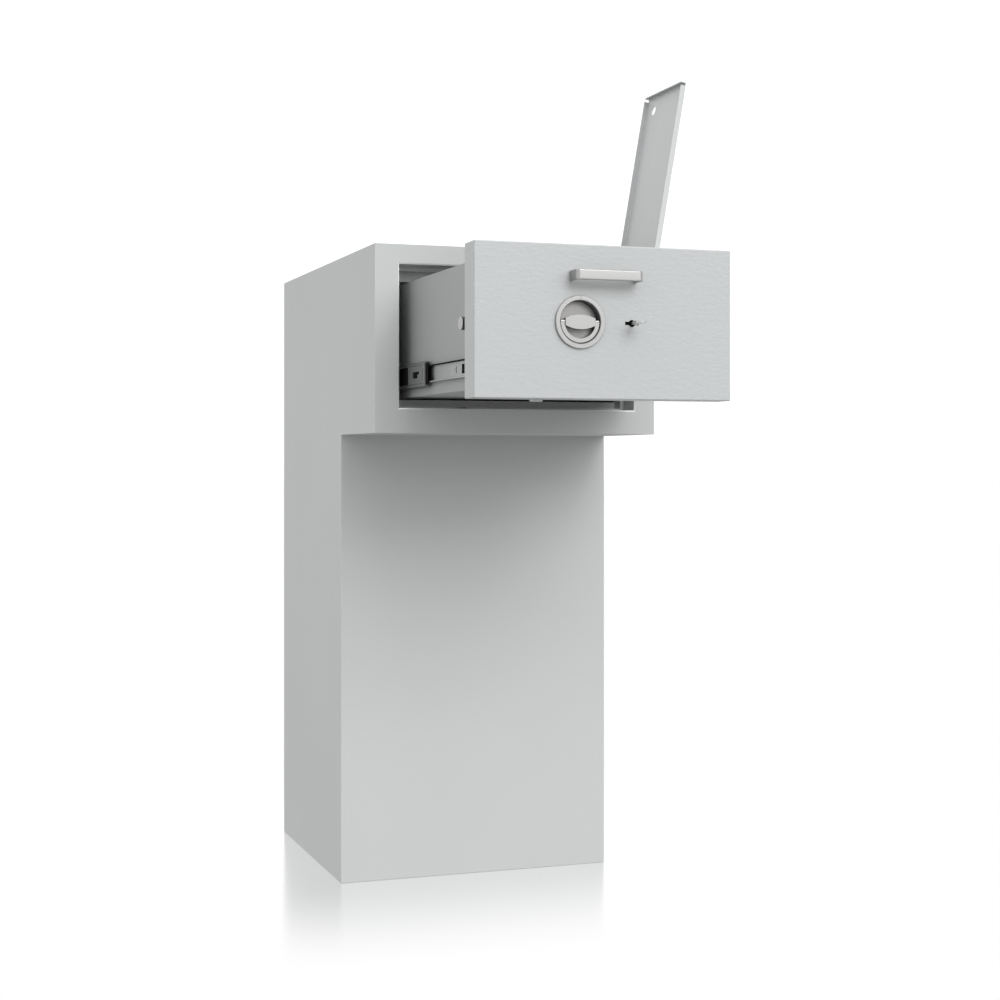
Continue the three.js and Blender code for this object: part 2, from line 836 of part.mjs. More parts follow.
function buildLidHinge() {
  const half = drawer.sheet / 2;
  const boltWall = drawer.frontDepth + drawer.boltRoom + drawer.sheet;
  const trayWall = drawer.frontDepth + drawer.trayStart;
  const plateTop = lidAxisZ - lid.barrelRadius - seam;
  const plate = block(
    [lidHinge - half, lidHinge + half],
    [boltWall + seam, trayWall - seam],
    [floorTop + seam, plateTop],
  );
  const barrels = [];
  for (const span of barrelSpans(0)) {
    const at = { x: lidHinge, z: lidAxisZ };
    barrels.push(rod("y", lid.barrelRadius, span, at));
    barrels.push(block([lidHinge - half, lidHinge + half], span, [plateTop - overrun, lidAxisZ]));
  }

  // A bent tab to the right of the hinge, where the open lid leans
  const lean = lid.openAngle * degree - quarterTurn;
  const along = new THREE.Vector2(Math.sin(lean), Math.cos(lean));
  const out = new THREE.Vector2(Math.cos(lean), -Math.sin(lean));
  const point = (up, off) => [
    lidHinge + up * along.x + off * out.x,
    lidAxisZ + up * along.y + off * out.y,
  ];
  const near = lid.barrelRadius + seam;
  const far = near + lid.stopSheet;
  const foot = plateTop - lid.stopSheet;
  const tab = outline([
    [lidHinge, foot - lid.stopSheet],
    [point(0, far)[0], foot - lid.stopSheet],
    point(0, far),
    point(lid.stopHeight, far),
    point(lid.stopHeight, near),
    point(0, near),
    [point(0, near)[0], foot],
    [lidHinge, foot],
  ]);
  const middleY = hingeStart + lid.hingeLength / 2;
  const stop = prism("y", tab, [middleY - lid.stopWidth / 2, middleY + lid.stopWidth / 2]);
  const bore = rod("y", lid.pinRadius + seam, [0, boxEnd], { x: lidHinge, z: lidAxisZ }, facets.pin);
  piece(tray, "lid_divider", cut(join(plate, stop, ...barrels), bore), innerPaint);
  const pin = rod("y", lid.pinRadius, [hingeStart, hingeStart + lid.hingeLength], {
    x: lidHinge,
    z: lidAxisZ,
  });
  piece(tray, "lid_hinge_pin", pin, steel);
}

// The lid is drawn shut, with its hinge axis on the group's origin and its free end to the left
function buildLid() {
  const length = lidHinge + boxHalf + lid.sideGap + lid.sheet;
  const skinZ = [lid.barrelRadius - lid.sheet, lid.barrelRadius];
  const root = -(lid.barrelRadius + play);
  const lidEnd = lidStart + lid.width;
  const flangeZ = [lid.barrelRadius - lid.flange, lid.barrelRadius];
  const withinWalls = [-lidHinge - boxInner + play, root];
  const skin = block([-length, root], [lidStart, lidEnd], skinZ);
  const flanges = [
    block(withinWalls, [lidStart, lidStart + lid.sheet], flangeZ),
    block(withinWalls, [lidEnd - lid.sheet, lidEnd], flangeZ),
    block([-length, -length + lid.sheet], [lidStart, lidEnd], flangeZ),
  ];
  const knuckles = [];
  for (const span of barrelSpans(1)) {
    knuckles.push(rod("y", lid.barrelRadius, span, {}));
    knuckles.push(block([root - overrun, 0], span, skinZ));
  }
  const bore = rod("y", lid.pinRadius + seam, [0, lidEnd + overrun], {}, facets.pin);
  const hole = rod("z", lid.fingerHole, [-lid.flange, lid.flange], {
    x: -length + lid.holeFromEnd,
    y: lidEnd - lid.holeFromBack,
  });
  const whole = join(skin, ...flanges, ...knuckles);
  piece(lidGroup, "drawer_lid", cut(whole, bore, hole), paint);
}

function buildPull() {
  const half = pull.width / 2;
  const inner = half - pull.sheet;
  const front = -pull.reach;
  const bend = pull.bend;
  const tight = bend - pull.sheet;
  const strap = new THREE.Shape();
  strap.moveTo(-half, -seam);
  strap.lineTo(-half, front + bend);
  strap.absarc(-half + bend, front + bend, bend, Math.PI, 1.5 * Math.PI, false);
  strap.lineTo(half - bend, front);
  strap.absarc(half - bend, front + bend, bend, -quarterTurn, 0, false);
  strap.lineTo(half, -seam);
  strap.lineTo(inner, -seam);
  strap.lineTo(inner, front + bend);
  strap.absarc(half - bend, front + bend, tight, 0, -quarterTurn, true);
  strap.lineTo(-half + bend, front + pull.sheet);
  strap.absarc(-half + bend, front + bend, tight, 1.5 * Math.PI, Math.PI, true);
  strap.lineTo(-inner, -seam);
  const handle = prism("z", strap, [pull.z - pull.height / 2, pull.z + pull.height / 2], facets.bend);
  piece(tray, "pull_handle", handle.translate(pull.x, 0, 0), satin);
}

const knobGroup = new THREE.Group();
knobGroup.position.set(knob.x, 0, knob.z);
tray.add(knobGroup);

const knobDiscRear = knob.cupDepth - knob.floorSheet - seam;
const knobDiscFront = knobDiscRear - knob.discDepth;
const gripFront = knob.gripDrop - knob.ringDepth;
const bailY = bail.axisDepth;

function ring(outerRadius, innerRadius, [from, to], sides) {
  const profile = [
    [innerRadius, from],
    [outerRadius, from],
    [outerRadius, to],
    [innerRadius, to],
    [innerRadius, from],
  ];
  const points = profile.map(([r, y]) => new THREE.Vector2(r, y));
  return new THREE.LatheGeometry(points, sides);
}

function buildKnob() {
  const rim = ring(knob.ringRadius, knob.ringBore, [-knob.ringDepth, -seam], facets.ring);
  const wall = ring(
    knob.ringBore + knob.cupSheet,
    knob.ringBore,
    [-knob.ringDepth / 2, knob.cupDepth],
    facets.ring,
  );
  const floor = ring(
    knob.ringBore + play,
    knob.spindleRadius + play,
    [knob.cupDepth - knob.floorSheet, knob.cupDepth],
    facets.ring,
  );
  const rosette = join(rim, wall, floor).translate(knob.x, 0, knob.z);
  piece(tray, "knob_rosette", rosette, satin);

  // The grip is a bar between two arcs that meet its blunt ends
  const halfLength = knob.gripLength / 2;
  const halfEnd = knob.gripEnd / 2;
  const bulge = (knob.gripWidth - knob.gripEnd) / 2;
  const grip = new THREE.Shape();
  grip.moveTo(-halfLength, -halfEnd);
  grip.quadraticCurveTo(0, -halfEnd - bulge - bulge, halfLength, -halfEnd);
  grip.lineTo(halfLength, halfEnd);
  grip.quadraticCurveTo(0, halfEnd + bulge + bulge, -halfLength, halfEnd);
  const bar = prism("y", grip, [gripFront, knobDiscFront], facets.arc);
  const disc = rod("y", knob.discRadius, [knobDiscFront, knobDiscRear], {}, facets.ring);
  const reach = bail.pivotReach + play;
  const bores = [-1, 1].map((side) =>
    rod("x", bail.pivotRadius + seam, sideRange(side, halfLength - reach, halfLength + overrun), {
      y: bailY,
      z: bail.axisRise,
    }, facets.pin),
  );
  piece(knobGroup, "turn_knob", cut(join(disc, bar), ...bores), satin);
}

// The bail hangs round the lower half of the grip, with a lug and a pivot at each end
function buildBail() {
  const depth = [bailY - bail.depth / 2, bailY + bail.depth / 2];
  const loop = new THREE.Shape();
  loop.moveTo(-bail.outerRadius, bail.axisRise);
  loop.lineTo(-bail.outerRadius, 0);
  loop.absarc(0, 0, bail.outerRadius, Math.PI, 2 * Math.PI, false);
  loop.lineTo(bail.outerRadius, bail.axisRise);
  loop.lineTo(bail.innerRadius, bail.axisRise);
  loop.lineTo(bail.innerRadius, 0);
  loop.absarc(0, 0, bail.innerRadius, 2 * Math.PI, Math.PI, true);
  loop.lineTo(-bail.innerRadius, bail.axisRise);
  const parts = [prism("y", loop, depth, facets.loop)];
  const pivotStart = knob.gripLength / 2 - bail.pivotReach;
  for (const side of [-1, 1]) {
    const at = { y: bailY, z: bail.axisRise };
    parts.push(rod("x", bail.lugRadius, sideRange(side, bail.innerRadius, bail.outerRadius), at));
    const pivotSpan = sideRange(side, pivotStart, bail.outerRadius);
    parts.push(rod("x", bail.pivotRadius, pivotSpan, at, facets.pin));
  }
  piece(knobGroup, "knob_bail", join(...parts), satin);
}

// The layers of the bolt work behind the front: lock, side bars, drive disc and lower bar
const lockY = [boxStart, boxStart + lock.depth];
const barY = [lockY[1] + play, lockY[1] + play + bolt.barSheet];
const discY = [barY[1] + play, barY[1] + play + drive.discSheet];
const lowerBarY = [discY[1] + play, discY[1] + play + bolt.barSheet];
const pinCircle = bolt.throw / Math.SQRT2;
const crank = pinCircle / Math.SQRT2;
const lockMiddleY = (lockY[0] + lockY[1]) / 2;
const lockBoltY = [lockMiddleY - lock.boltSheet / 2, lockMiddleY + lock.boltSheet / 2];

// The spindle turns a blocking disc for the lock and a drive disc with a pin for each bolt
function buildSpindle() {
  const shaft = rod("y", knob.spindleRadius, [knobDiscRear + seam, discY[1]], {});
  const blockY = [lockMiddleY - lock.discSheet / 2, lockMiddleY + lock.discSheet / 2];
  const blocking = rod("y", lock.discRadius, blockY, {}, facets.disc);
  const half = lock.boltHeight / 2 + play;
  const bottom = lock.discRadius - lock.boltThrow - play - play;
  const lockRise = lock.z - knob.z;
  const beyond = [blockY[0] - overrun, blockY[1] + overrun];
  const sideNotch = block(
    [bottom, lock.discRadius + overrun],
    beyond,
    [lockRise - half, lockRise + half],
  );
  const topNotch = block(
    [-lockRise - half, -lockRise + half],
    beyond,
    [bottom, lock.discRadius + overrun],
  );
  const disc = rod("y", drive.discRadius, discY, {}, facets.disc);
  const ahead = [barY[0] + seam, discY[1]];
  const behind = [discY[0], lowerBarY[1]];
  const pins = [
    rod("y", drive.pinRadius, ahead, { x: crank, z: -crank }),
    rod("y", drive.pinRadius, ahead, { x: -crank, z: crank }),
    rod("y", drive.pinRadius, behind, { x: crank, z: crank }),
  ];
  const whole = join(shaft, cut(blocking, sideNotch, topNotch), disc, ...pins);
  piece(knobGroup, "knob_spindle", whole, steel);
}

// A side bolt with the flat bar and fork that the drive pin moves; side is its way out
function buildSideBolt(name, side) {
  const tip = frontHalf + bolt.proud;
  const body = rod("x", bolt.radius, sideRange(side, tip - bolt.length, tip), {
    y: boltY,
    z: bolt.z,
  });
  const slotHalf = drive.pinRadius + drive.pinGap;
  const forkX = knob.x - side * crank;
  const edge = knob.spindleRadius + drive.pinGap;
  const near = knob.z + side * edge;
  const far = knob.z + side * (edge + drive.forkDepth);
  const barZ = [Math.min(near, far), Math.max(near, far)];
  const inner = forkX - side * (slotHalf + drive.prong);
  const outer = side * (tip - bolt.length + bolt.barTail);
  const bar = block([Math.min(inner, outer), Math.max(inner, outer)], barY, barZ);
  const tailFrom = outer - side * (bolt.barTail + bolt.barOverlap);
  const tail = block(
    [Math.min(tailFrom, outer), Math.max(tailFrom, outer)],
    barY,
    [Math.min(barZ[0], bolt.z), Math.max(barZ[1], bolt.z)],
  );
  const pinFar = knob.z + side * (pinCircle + slotHalf);
  const slotEnds = [near - side * overrun, pinFar];
  const slot = block(
    [forkX - slotHalf, forkX + slotHalf],
    [barY[0] - overrun, barY[1] + overrun],
    [Math.min(...slotEnds), Math.max(...slotEnds)],
  );
  piece(tray, name, cut(join(body, bar, tail), slot), satin);
}

// The lower bolt: its bar runs behind the disc, down and across to the bolt
function buildLowerBolt() {
  const tip = drawer.lowerGap - bolt.proud;
  const top = tip + bolt.lowerLength;
  const body = rod("z", bolt.radius, [tip, top], { x: bottomBoltX, y: boltY });
  const slotHalf = drive.pinRadius + drive.pinGap;
  const forkX = [knob.x + crank - slotHalf, knob.x + pinCircle + slotHalf];
  const forkZ = knob.z + crank;
  const barX = [forkX[0] - drive.prong, forkX[1] + drive.prong];
  const upright = block(barX, lowerBarY, [top, forkZ + slotHalf + drive.prong]);
  const level = block([bottomBoltX - bolt.radius, barX[1]], lowerBarY, [top, top + drive.lowerBar]);
  const foot = block(
    [bottomBoltX - bolt.radius, bottomBoltX + bolt.radius],
    [boltY - bolt.radius, lowerBarY[1]],
    [top, top + bolt.barSheet],
  );
  const slot = block(
    forkX,
    [lowerBarY[0] - overrun, lowerBarY[1] + overrun],
    [forkZ - slotHalf, forkZ + slotHalf],
  );
  piece(tray, "bolt_bottom", cut(join(body, foot, level, upright), slot), satin);
}

function buildLock() {
  const left = lock.x - lock.width / 2;
  const solidCase = block(
    [left, lock.x + lock.width / 2],
    lockY,
    [lock.z - lock.height / 2, lock.z + lock.height / 2],
  );
  const half = lock.boltHeight / 2;
  const channelCut = block(
    [left - overrun, lock.x],
    [lockBoltY[0] - seam, lockBoltY[1] + seam],
    [lock.z - half - seam, lock.z + half + seam],
  );
  const sweep = key.bitSpan / 2 + play;
  const bitY = [lockBoltY[1] - key.bitDepth, lockBoltY[1]];
  const well = rod("y", sweep, [bitY[0] - play, bitY[1] + play], { x: lock.x, z: lock.z });
  const entry = keyhole([lockY[0] - overrun, bitY[1]]);
  piece(tray, "lock_case", cut(solidCase, channelCut, well, ...entry), zinc);

  const tip = knob.x + lock.discRadius + lock.tipGap;
  const bar = block(
    [tip, tip + lock.boltLength],
    lockBoltY,
    [lock.z - half, lock.z + half],
  );
  piece(tray, "lock_bolt", bar, satin);

  // The key: a double bit in the lock, a round shank and a flat bow that lies level
  const at = { x: lock.x, z: lock.z };
  const shank = rod("y", key.shaftRadius, [-key.shaftOut, bitY[1]], at, facets.barrel);
  const bits = block(
    [lock.x - key.bitSpan / 2, lock.x + key.bitSpan / 2],
    bitY,
    [lock.z - key.bitSheet / 2, lock.z + key.bitSheet / 2],
  );
  const bow = new THREE.Shape();
  bow.absellipse(
    lock.x,
    -key.shaftOut - key.bowLength / 2 + key.bowOverlap,
    key.bowWidth / 2,
    key.bowLength / 2,
    0,
    2 * Math.PI,
    false,
    0,
  );
  const flat = prism("z", bow, [lock.z - key.bitSheet / 2, lock.z + key.bitSheet / 2], facets.arc);
  piece(tray, "key", join(shank, bits, flat), satin);
}

// The rear door, its frame and its bolt work
const doorGroup = new THREE.Group();
doorGroup.position.set(mouthX, 0, door.bottom + doorHeight / 2);
housing.add(doorGroup);
const doorHalf = doorWidth / 2 - door.gap;
const doorHalfHeight = doorHeight / 2 - door.gap;
const plateY = [cabinet.depth - door.plate, cabinet.depth];
const boxY = [plateY[0] - seam - door.boxDepth, plateY[0] - seam];
const boxHalfDoor = doorHalf - door.boxInset;
const doorBoltY = boxY[0] + door.boxDepth * doorBolt.depthShare;
const doorBarY = [doorBoltY - doorBolt.barSheet / 2, doorBoltY + doorBolt.barSheet / 2];
const doorDiscY = [doorBarY[1] + play, doorBarY[1] + play + drive.discSheet];
const doorAxisX = doorWidth / 2 + door.barrelRadius;
const doorAxisY = cabinet.depth + door.barrelRadius + seam;
const doorBoltZs = [
  -doorHalfHeight + doorBolt.endInset,
  0,
  doorHalfHeight - doorBolt.endInset,
];
const hingeZs = [door.hingeInset - doorHeight / 2, doorHeight / 2 - door.hingeInset];

function buildDoorFrame() {
  const depth = [vaultEnd + seam, backInside];
  const frame = block(liningX, depth, [vault.floorWall + seam, chamberFloorZ - seam]);
  const hole = block(doorX, [depth[0] - overrun, depth[1] + overrun], doorZ);
  const strikes = doorBoltZs.map((z) =>
    rod(
      "x",
      doorBolt.radius + play + play,
      [doorX[0] - doorBolt.throw - overrun, doorX[0] + overrun],
      { y: doorBoltY, z: door.bottom + doorHeight / 2 + z },
    ),
  );
  piece(housing, "door_frame", cut(frame, hole, ...strikes), innerPaint);
}

function buildDoor() {
  const halfBarrel = door.barrelLength;
  const fixed = [];
  const moving = [];
  for (const z of hingeZs) {
    fixed.push([z - halfBarrel, z - play]);
    moving.push([z + play, z + halfBarrel]);
  }
  const axis = { x: doorAxisX, y: doorAxisY };
  const plate = block([-doorHalf, doorHalf], plateY, [-doorHalfHeight, doorHalfHeight]);
  const wrap = (span) => [
    rod("z", door.barrelRadius, span, axis, facets.barrel),
    block([doorHalf - door.plate, doorAxisX], [cabinet.depth + seam, doorAxisY], span),
    block([doorHalf - door.plate, doorHalf], [plateY[0], doorAxisY], span),
  ];
  const bores = moving.map(([from, to]) =>
    rod("z", door.pinRadius + seam, [from - overrun, to - door.plate], axis, facets.barrel),
  );
  const spindle = rod("y", doorHandle.spindleRadius + play, [
    plateY[0] - overrun,
    plateY[1] + overrun,
  ]);
  const hole = rod("y", doorLock.keyholeRadius, [plateY[0] - overrun, plateY[1] + overrun], {
    z: -doorLock.drop,
  });
  const leaves = moving.map(wrap).flat();
  const doorSolid = cut(join(plate, ...leaves), spindle, hole, ...bores);
  piece(doorGroup, "door_plate", doorSolid, paint);

  // Each fixed barrel stands on the back panel beside the door and carries the pin
  ["lower", "upper"].forEach((name, index) => {
    const [from, to] = fixed[index];
    const barrel = rod("z", door.barrelRadius, [from, to], axis, facets.barrel);
    const lug = block(
      [doorAxisX, doorAxisX + door.barrelRadius + door.plate],
      [cabinet.depth + seam, doorAxisY],
      [from, to],
    );
    const pin = rod("z", door.pinRadius, [from, to + door.barrelLength / 2], axis, facets.barrel);
    piece(doorGroup, `door_hinge_${name}`, join(barrel, lug, pin), steel);
  });

  // A shallow box on the inner face covers the bolt work
  const high = doorHalfHeight - door.boxInset;
  const shell = block([-boxHalfDoor, boxHalfDoor], boxY, [-high, high]);
  const inside = block(
    [-boxHalfDoor + door.boxSheet, boxHalfDoor - door.boxSheet],
    [boxY[0] + door.boxSheet, boxY[1] + overrun],
    [-high + door.boxSheet, high - door.boxSheet],
  );
  const holes = doorBoltZs.map((z) =>
    rod("x", doorBolt.radius + play, [-boxHalfDoor - overrun, -boxHalfDoor + overrun], {
      y: doorBoltY,
      z,
    }),
  );
  piece(doorGroup, "door_box", cut(shell, inside, ...holes), innerPaint);

  const lockSpan = [plateY[0] - seam - doorLock.depth, plateY[0] - seam];
  const lockBody = block(
    [-doorLock.width / 2, doorLock.width / 2],
    lockSpan,
    [-doorLock.drop - doorLock.height / 2, -doorLock.drop + doorLock.height / 2],
  );
  const lockHole = rod("y", doorLock.keyholeRadius, [lockSpan[0] - overrun, lockSpan[1] + overrun], {
    z: -doorLock.drop,
  });
  piece(doorGroup, "door_lock_case", cut(lockBody, lockHole), zinc);
}

// Three bolts on one upright bar, with an arm and a fork that the handle's pin moves
function buildDoorBolts() {
  const tip = -boxHalfDoor - doorBolt.proud;
  const barX = [
    tip + doorBolt.bodyLength - doorBolt.barWidth,
    tip + doorBolt.bodyLength,
  ];
  const upright = block(barX, doorBarY, [doorBoltZs[0], doorBoltZs[2]]);
  const pins = doorBoltZs.map((z) =>
    rod("x", doorBolt.radius, [tip, tip + doorBolt.bodyLength], { y: doorBoltY, z }),
  );
  const slotHalf = drive.pinRadius + drive.pinGap;
  const edge = doorHandle.spindleRadius + drive.pinGap;
  const armZ = [-edge - drive.forkDepth, -edge];
  const arm = block([barX[0], crank + slotHalf + drive.prong], doorBarY, armZ);
  const slot = block(
    [crank - slotHalf, crank + slotHalf],
    [doorBarY[0] - overrun, doorBarY[1] + overrun],
    [-pinCircle - slotHalf, overrun],
  );
  piece(doorGroup, "door_bolt_bar", cut(join(upright, ...pins, arm), slot), satin);
}

function buildDoorHandle() {
  const hubY = [cabinet.depth + seam, cabinet.depth + seam + doorHandle.hubDepth];
  const hub = rod("y", doorHandle.hubRadius, hubY, {}, facets.hub);
  const half = doorHandle.gripLength / 2;
  const wide = doorHandle.gripWidth / 2;
  const grip = new THREE.Shape();
  grip.moveTo(-wide, -half + wide);
  grip.absarc(0, -half + wide, wide, Math.PI, 2 * Math.PI, false);
  grip.absarc(0, half - wide, wide, 0, Math.PI, false);
  const bar = prism("y", grip, [hubY[1] - seam, hubY[1] + doorHandle.gripDepth], facets.curve);
  piece(doorGroup, "door_handle", join(hub, bar), satin);

  const shaft = rod("y", doorHandle.spindleRadius, [doorDiscY[0], hubY[0] - seam], {});
  const disc = rod("y", drive.discRadius, doorDiscY, {}, facets.hub);
  const pin = rod("y", drive.pinRadius, [doorBarY[0], doorDiscY[1]], { x: crank, z: -crank });
  piece(doorGroup, "door_spindle", join(shaft, disc, pin), steel);
}

buildShell();
buildStrikeFrame();
buildChamber();
buildVault();
buildFilling();
buildSlides();
buildFlap();
buildFront();
buildBox();
buildLidHinge();
buildLid();
buildPull();
buildKnob();
buildBail();
buildSpindle();
buildSideBolt("bolt_left", -1);
buildSideBolt("bolt_right", 1);
buildLowerBolt();
buildLock();
buildDoorFrame();
buildDoor();
buildDoorBolts();
buildDoorHandle();

export default safe;
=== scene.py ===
# A drop safe with a deposit drawer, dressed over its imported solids.
# Pieces are drawn in millimetres and come to metres in the row frame when they are finished.
import json
import math

import bmesh
import bpy
from mathutils import Matrix, Vector


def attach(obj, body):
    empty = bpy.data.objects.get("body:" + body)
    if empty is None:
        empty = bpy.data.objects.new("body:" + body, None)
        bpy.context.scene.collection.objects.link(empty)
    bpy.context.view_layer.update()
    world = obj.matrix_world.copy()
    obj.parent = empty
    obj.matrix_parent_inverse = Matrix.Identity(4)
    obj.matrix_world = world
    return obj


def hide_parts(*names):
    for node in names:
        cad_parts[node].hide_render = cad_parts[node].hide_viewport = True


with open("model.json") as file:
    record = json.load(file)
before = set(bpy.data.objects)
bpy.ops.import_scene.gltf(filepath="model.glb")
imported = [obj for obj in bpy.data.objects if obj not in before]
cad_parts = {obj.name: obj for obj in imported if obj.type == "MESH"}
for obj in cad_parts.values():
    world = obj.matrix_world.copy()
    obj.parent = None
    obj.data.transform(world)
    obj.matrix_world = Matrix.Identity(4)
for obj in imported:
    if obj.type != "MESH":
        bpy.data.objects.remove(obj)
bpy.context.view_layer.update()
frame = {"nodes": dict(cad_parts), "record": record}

record = frame["record"]
BODY_OF = {node: body for body, nodes in record["behaviour"]["bodies"].items() for node in nodes}
SLOT_OF = {row["node"]: row["material_slot"] for row in record["subparts"]}
METRE = 0.001

# Where each drawing's origin lies in the row frame, in millimetres
CASING_FRONT = -415.5
MOUTH_X = 2
MOUTH_LOW = 752.5
DOORWAY_MIDDLE = 360
TRAVEL = Vector((0, -170, 0))  # how far each slide member has come out of the next
HOUSING = Vector((0, CASING_FRONT, 0))
BAY = Vector((MOUTH_X, CASING_FRONT, MOUTH_LOW))
MIDDLE = BAY + TRAVEL
TRAY = MIDDLE + TRAVEL
DOOR = Vector((MOUTH_X, CASING_FRONT, DOORWAY_MIDDLE))

# Sizes that several pieces share
SEAM = 0.3
PLAY = 0.5
OVERRUN = 5
MISS = 0.05  # how far two faces that would lie in one plane miss each other
TINT_MARGIN = 0.1  # how far past its limits a tinted form is looked for

# Meshes: points closer than WELD (metres) merge, and edges flatter than FLAT go. An edge bent more
# than a corner's angle is rounded, and one bent more than CREASE is shaded sharp.
WELD = 0.000003
FLAT = math.radians(0.5)
CORNER = math.radians(30)
SOFT_CORNER = math.radians(32)
CREASE = math.radians(38)
SOFT_SHARES = (1, 0.6, 0.35, 0.2)  # shares of a soft edge's width, tried in turn
NORMAL_WEIGHT = 80

# Camera: solved from the photo's straight edges
CAMERA_PLACE = (-0.922, -2.9537, 0.673)
CAMERA_TURN = 0.338
FOCAL_PIXELS = 1761.1
IMAGE_WIDTH = 1000
HORIZON_ROW = 462.35
SENSOR = 36


# Materials

# Noise that all of them share, with scales per metre
FINE_ROUGHNESS = 0.55
DUST_SCALE = 900
DUST_SHARE = 0.25
BROAD_SCALE = 4
MOTTLE_SHARE = 0.4
MOTTLE_RANGE = {"From Min": 0.45, "From Max": 0.95, "To Min": 0, "To Max": 1}
POLISH_RANGE = {"From Min": 0.3, "From Max": 0.7}


def add_node(tree, kind, inputs=None, **settings):
    """A node with its settings and the values of its inputs."""
    made = tree.nodes.new(kind)
    for key, value in settings.items():
        setattr(made, key, value)
    for key, value in (inputs or {}).items():
        made.inputs[key].default_value = value
    return made


def surface(name, color, roughness, metallic, grain, specular=0.5):
    """A Principled material whose colour, roughness and relief vary with procedural noise.

    grain: scale (per metre, three axes), detail, relief (metres), strength, tint (share), polish,
    and the scale of the broad noise where it isn't the usual one.
    """
    material = bpy.data.materials.new(name)
    material.use_nodes = True
    tree = material.node_tree
    link = tree.links.new
    shader = tree.nodes["Principled BSDF"]
    shader.inputs["Metallic"].default_value = metallic
    shader.inputs["Specular IOR Level"].default_value = specular

    place = add_node(tree, "ShaderNodeTexCoord")
    stretch = add_node(tree, "ShaderNodeMapping", {"Scale": grain["scale"]})
    link(place.outputs["Object"], stretch.inputs["Vector"])
    fine = add_node(
        tree,
        "ShaderNodeTexNoise",
        {"Scale": 1, "Detail": grain["detail"], "Roughness": FINE_ROUGHNESS},
    )
    link(stretch.outputs["Vector"], fine.inputs["Vector"])
    dust = add_node(tree, "ShaderNodeTexNoise", {"Scale": DUST_SCALE, "Detail": 2})
    link(place.outputs["Object"], dust.inputs["Vector"])
    broad = add_node(tree, "ShaderNodeTexNoise", {"Scale": grain.get("broad", BROAD_SCALE), "Detail": 3})
    link(place.outputs["Object"], broad.inputs["Vector"])

    height = add_node(tree, "ShaderNodeMath", operation="MULTIPLY_ADD")
    link(dust.outputs["Fac"], height.inputs[0])
    height.inputs[1].default_value = DUST_SHARE
    link(fine.outputs["Fac"], height.inputs[2])
    bump = add_node(
        tree, "ShaderNodeBump", {"Strength": grain["strength"], "Distance": grain["relief"]}
    )
    link(height.outputs["Value"], bump.inputs["Height"])
    link(bump.outputs["Normal"], shader.inputs["Normal"])

    tint = grain["tint"]
    shade = add_node(tree, "ShaderNodeMix", data_type="RGBA")
    shade.inputs["A"].default_value = (*[c * (1 - tint) for c in color], 1)
    shade.inputs["B"].default_value = (*[min(1, c * (1 + tint)) for c in color], 1)
    mottle = add_node(tree, "ShaderNodeMath", operation="MULTIPLY_ADD")
    link(fine.outputs["Fac"], mottle.inputs[0])
    mottle.inputs[1].default_value = MOTTLE_SHARE
    link(broad.outputs["Fac"], mottle.inputs[2])
    spread = add_node(tree, "ShaderNodeMapRange", MOTTLE_RANGE)
    link(mottle.outputs["Value"], spread.inputs["Value"])
    link(spread.outputs["Result"], shade.inputs["Factor"])
    link(shade.outputs["Result"], shader.inputs["Base Color"])

    polish = grain["polish"]
    ends = {"To Min": roughness - polish, "To Max": roughness + polish}
    sheen = add_node(tree, "ShaderNodeMapRange", POLISH_RANGE | ends)
    link(fine.outputs["Fac"], sheen.inputs["Value"])
    link(sheen.outputs["Result"], shader.inputs["Roughness"])
    return material


PEEL = dict(scale=(110, 150, 210), detail=3, relief=0.0007, strength=0.6, tint=0.012, polish=0.05)
SMOOTH = dict(scale=(190, 190, 190), detail=3, relief=0.0003, strength=0.2, tint=0.015, polish=0.04)
ROLLED = dict(
    scale=(300, 25, 300), detail=4, relief=0.0001, strength=0.25, tint=0.06, polish=0.08, broad=60
)
SATIN = dict(scale=(60, 60, 900), detail=3, relief=0.00001, strength=0.03, tint=0.01, polish=0.01)
MATT = dict(scale=(400, 400, 400), detail=3, relief=0.00004, strength=0.2, tint=0.03, polish=0.05)
DULL = dict(scale=(400, 400, 400), detail=3, relief=0.0001, strength=0.2, tint=0.1, polish=0.1)
DRAWN = dict(scale=(500, 120, 500), detail=4, relief=0.0001, strength=0.3, tint=0.08, polish=0.1)
WORN = dict(scale=(500, 300, 500), detail=4, relief=0.0001, strength=0.3, tint=0.1, polish=0.1)
CAST = dict(scale=(90, 90, 90), detail=8, relief=0.003, strength=0.8, tint=0.2, polish=0.08)

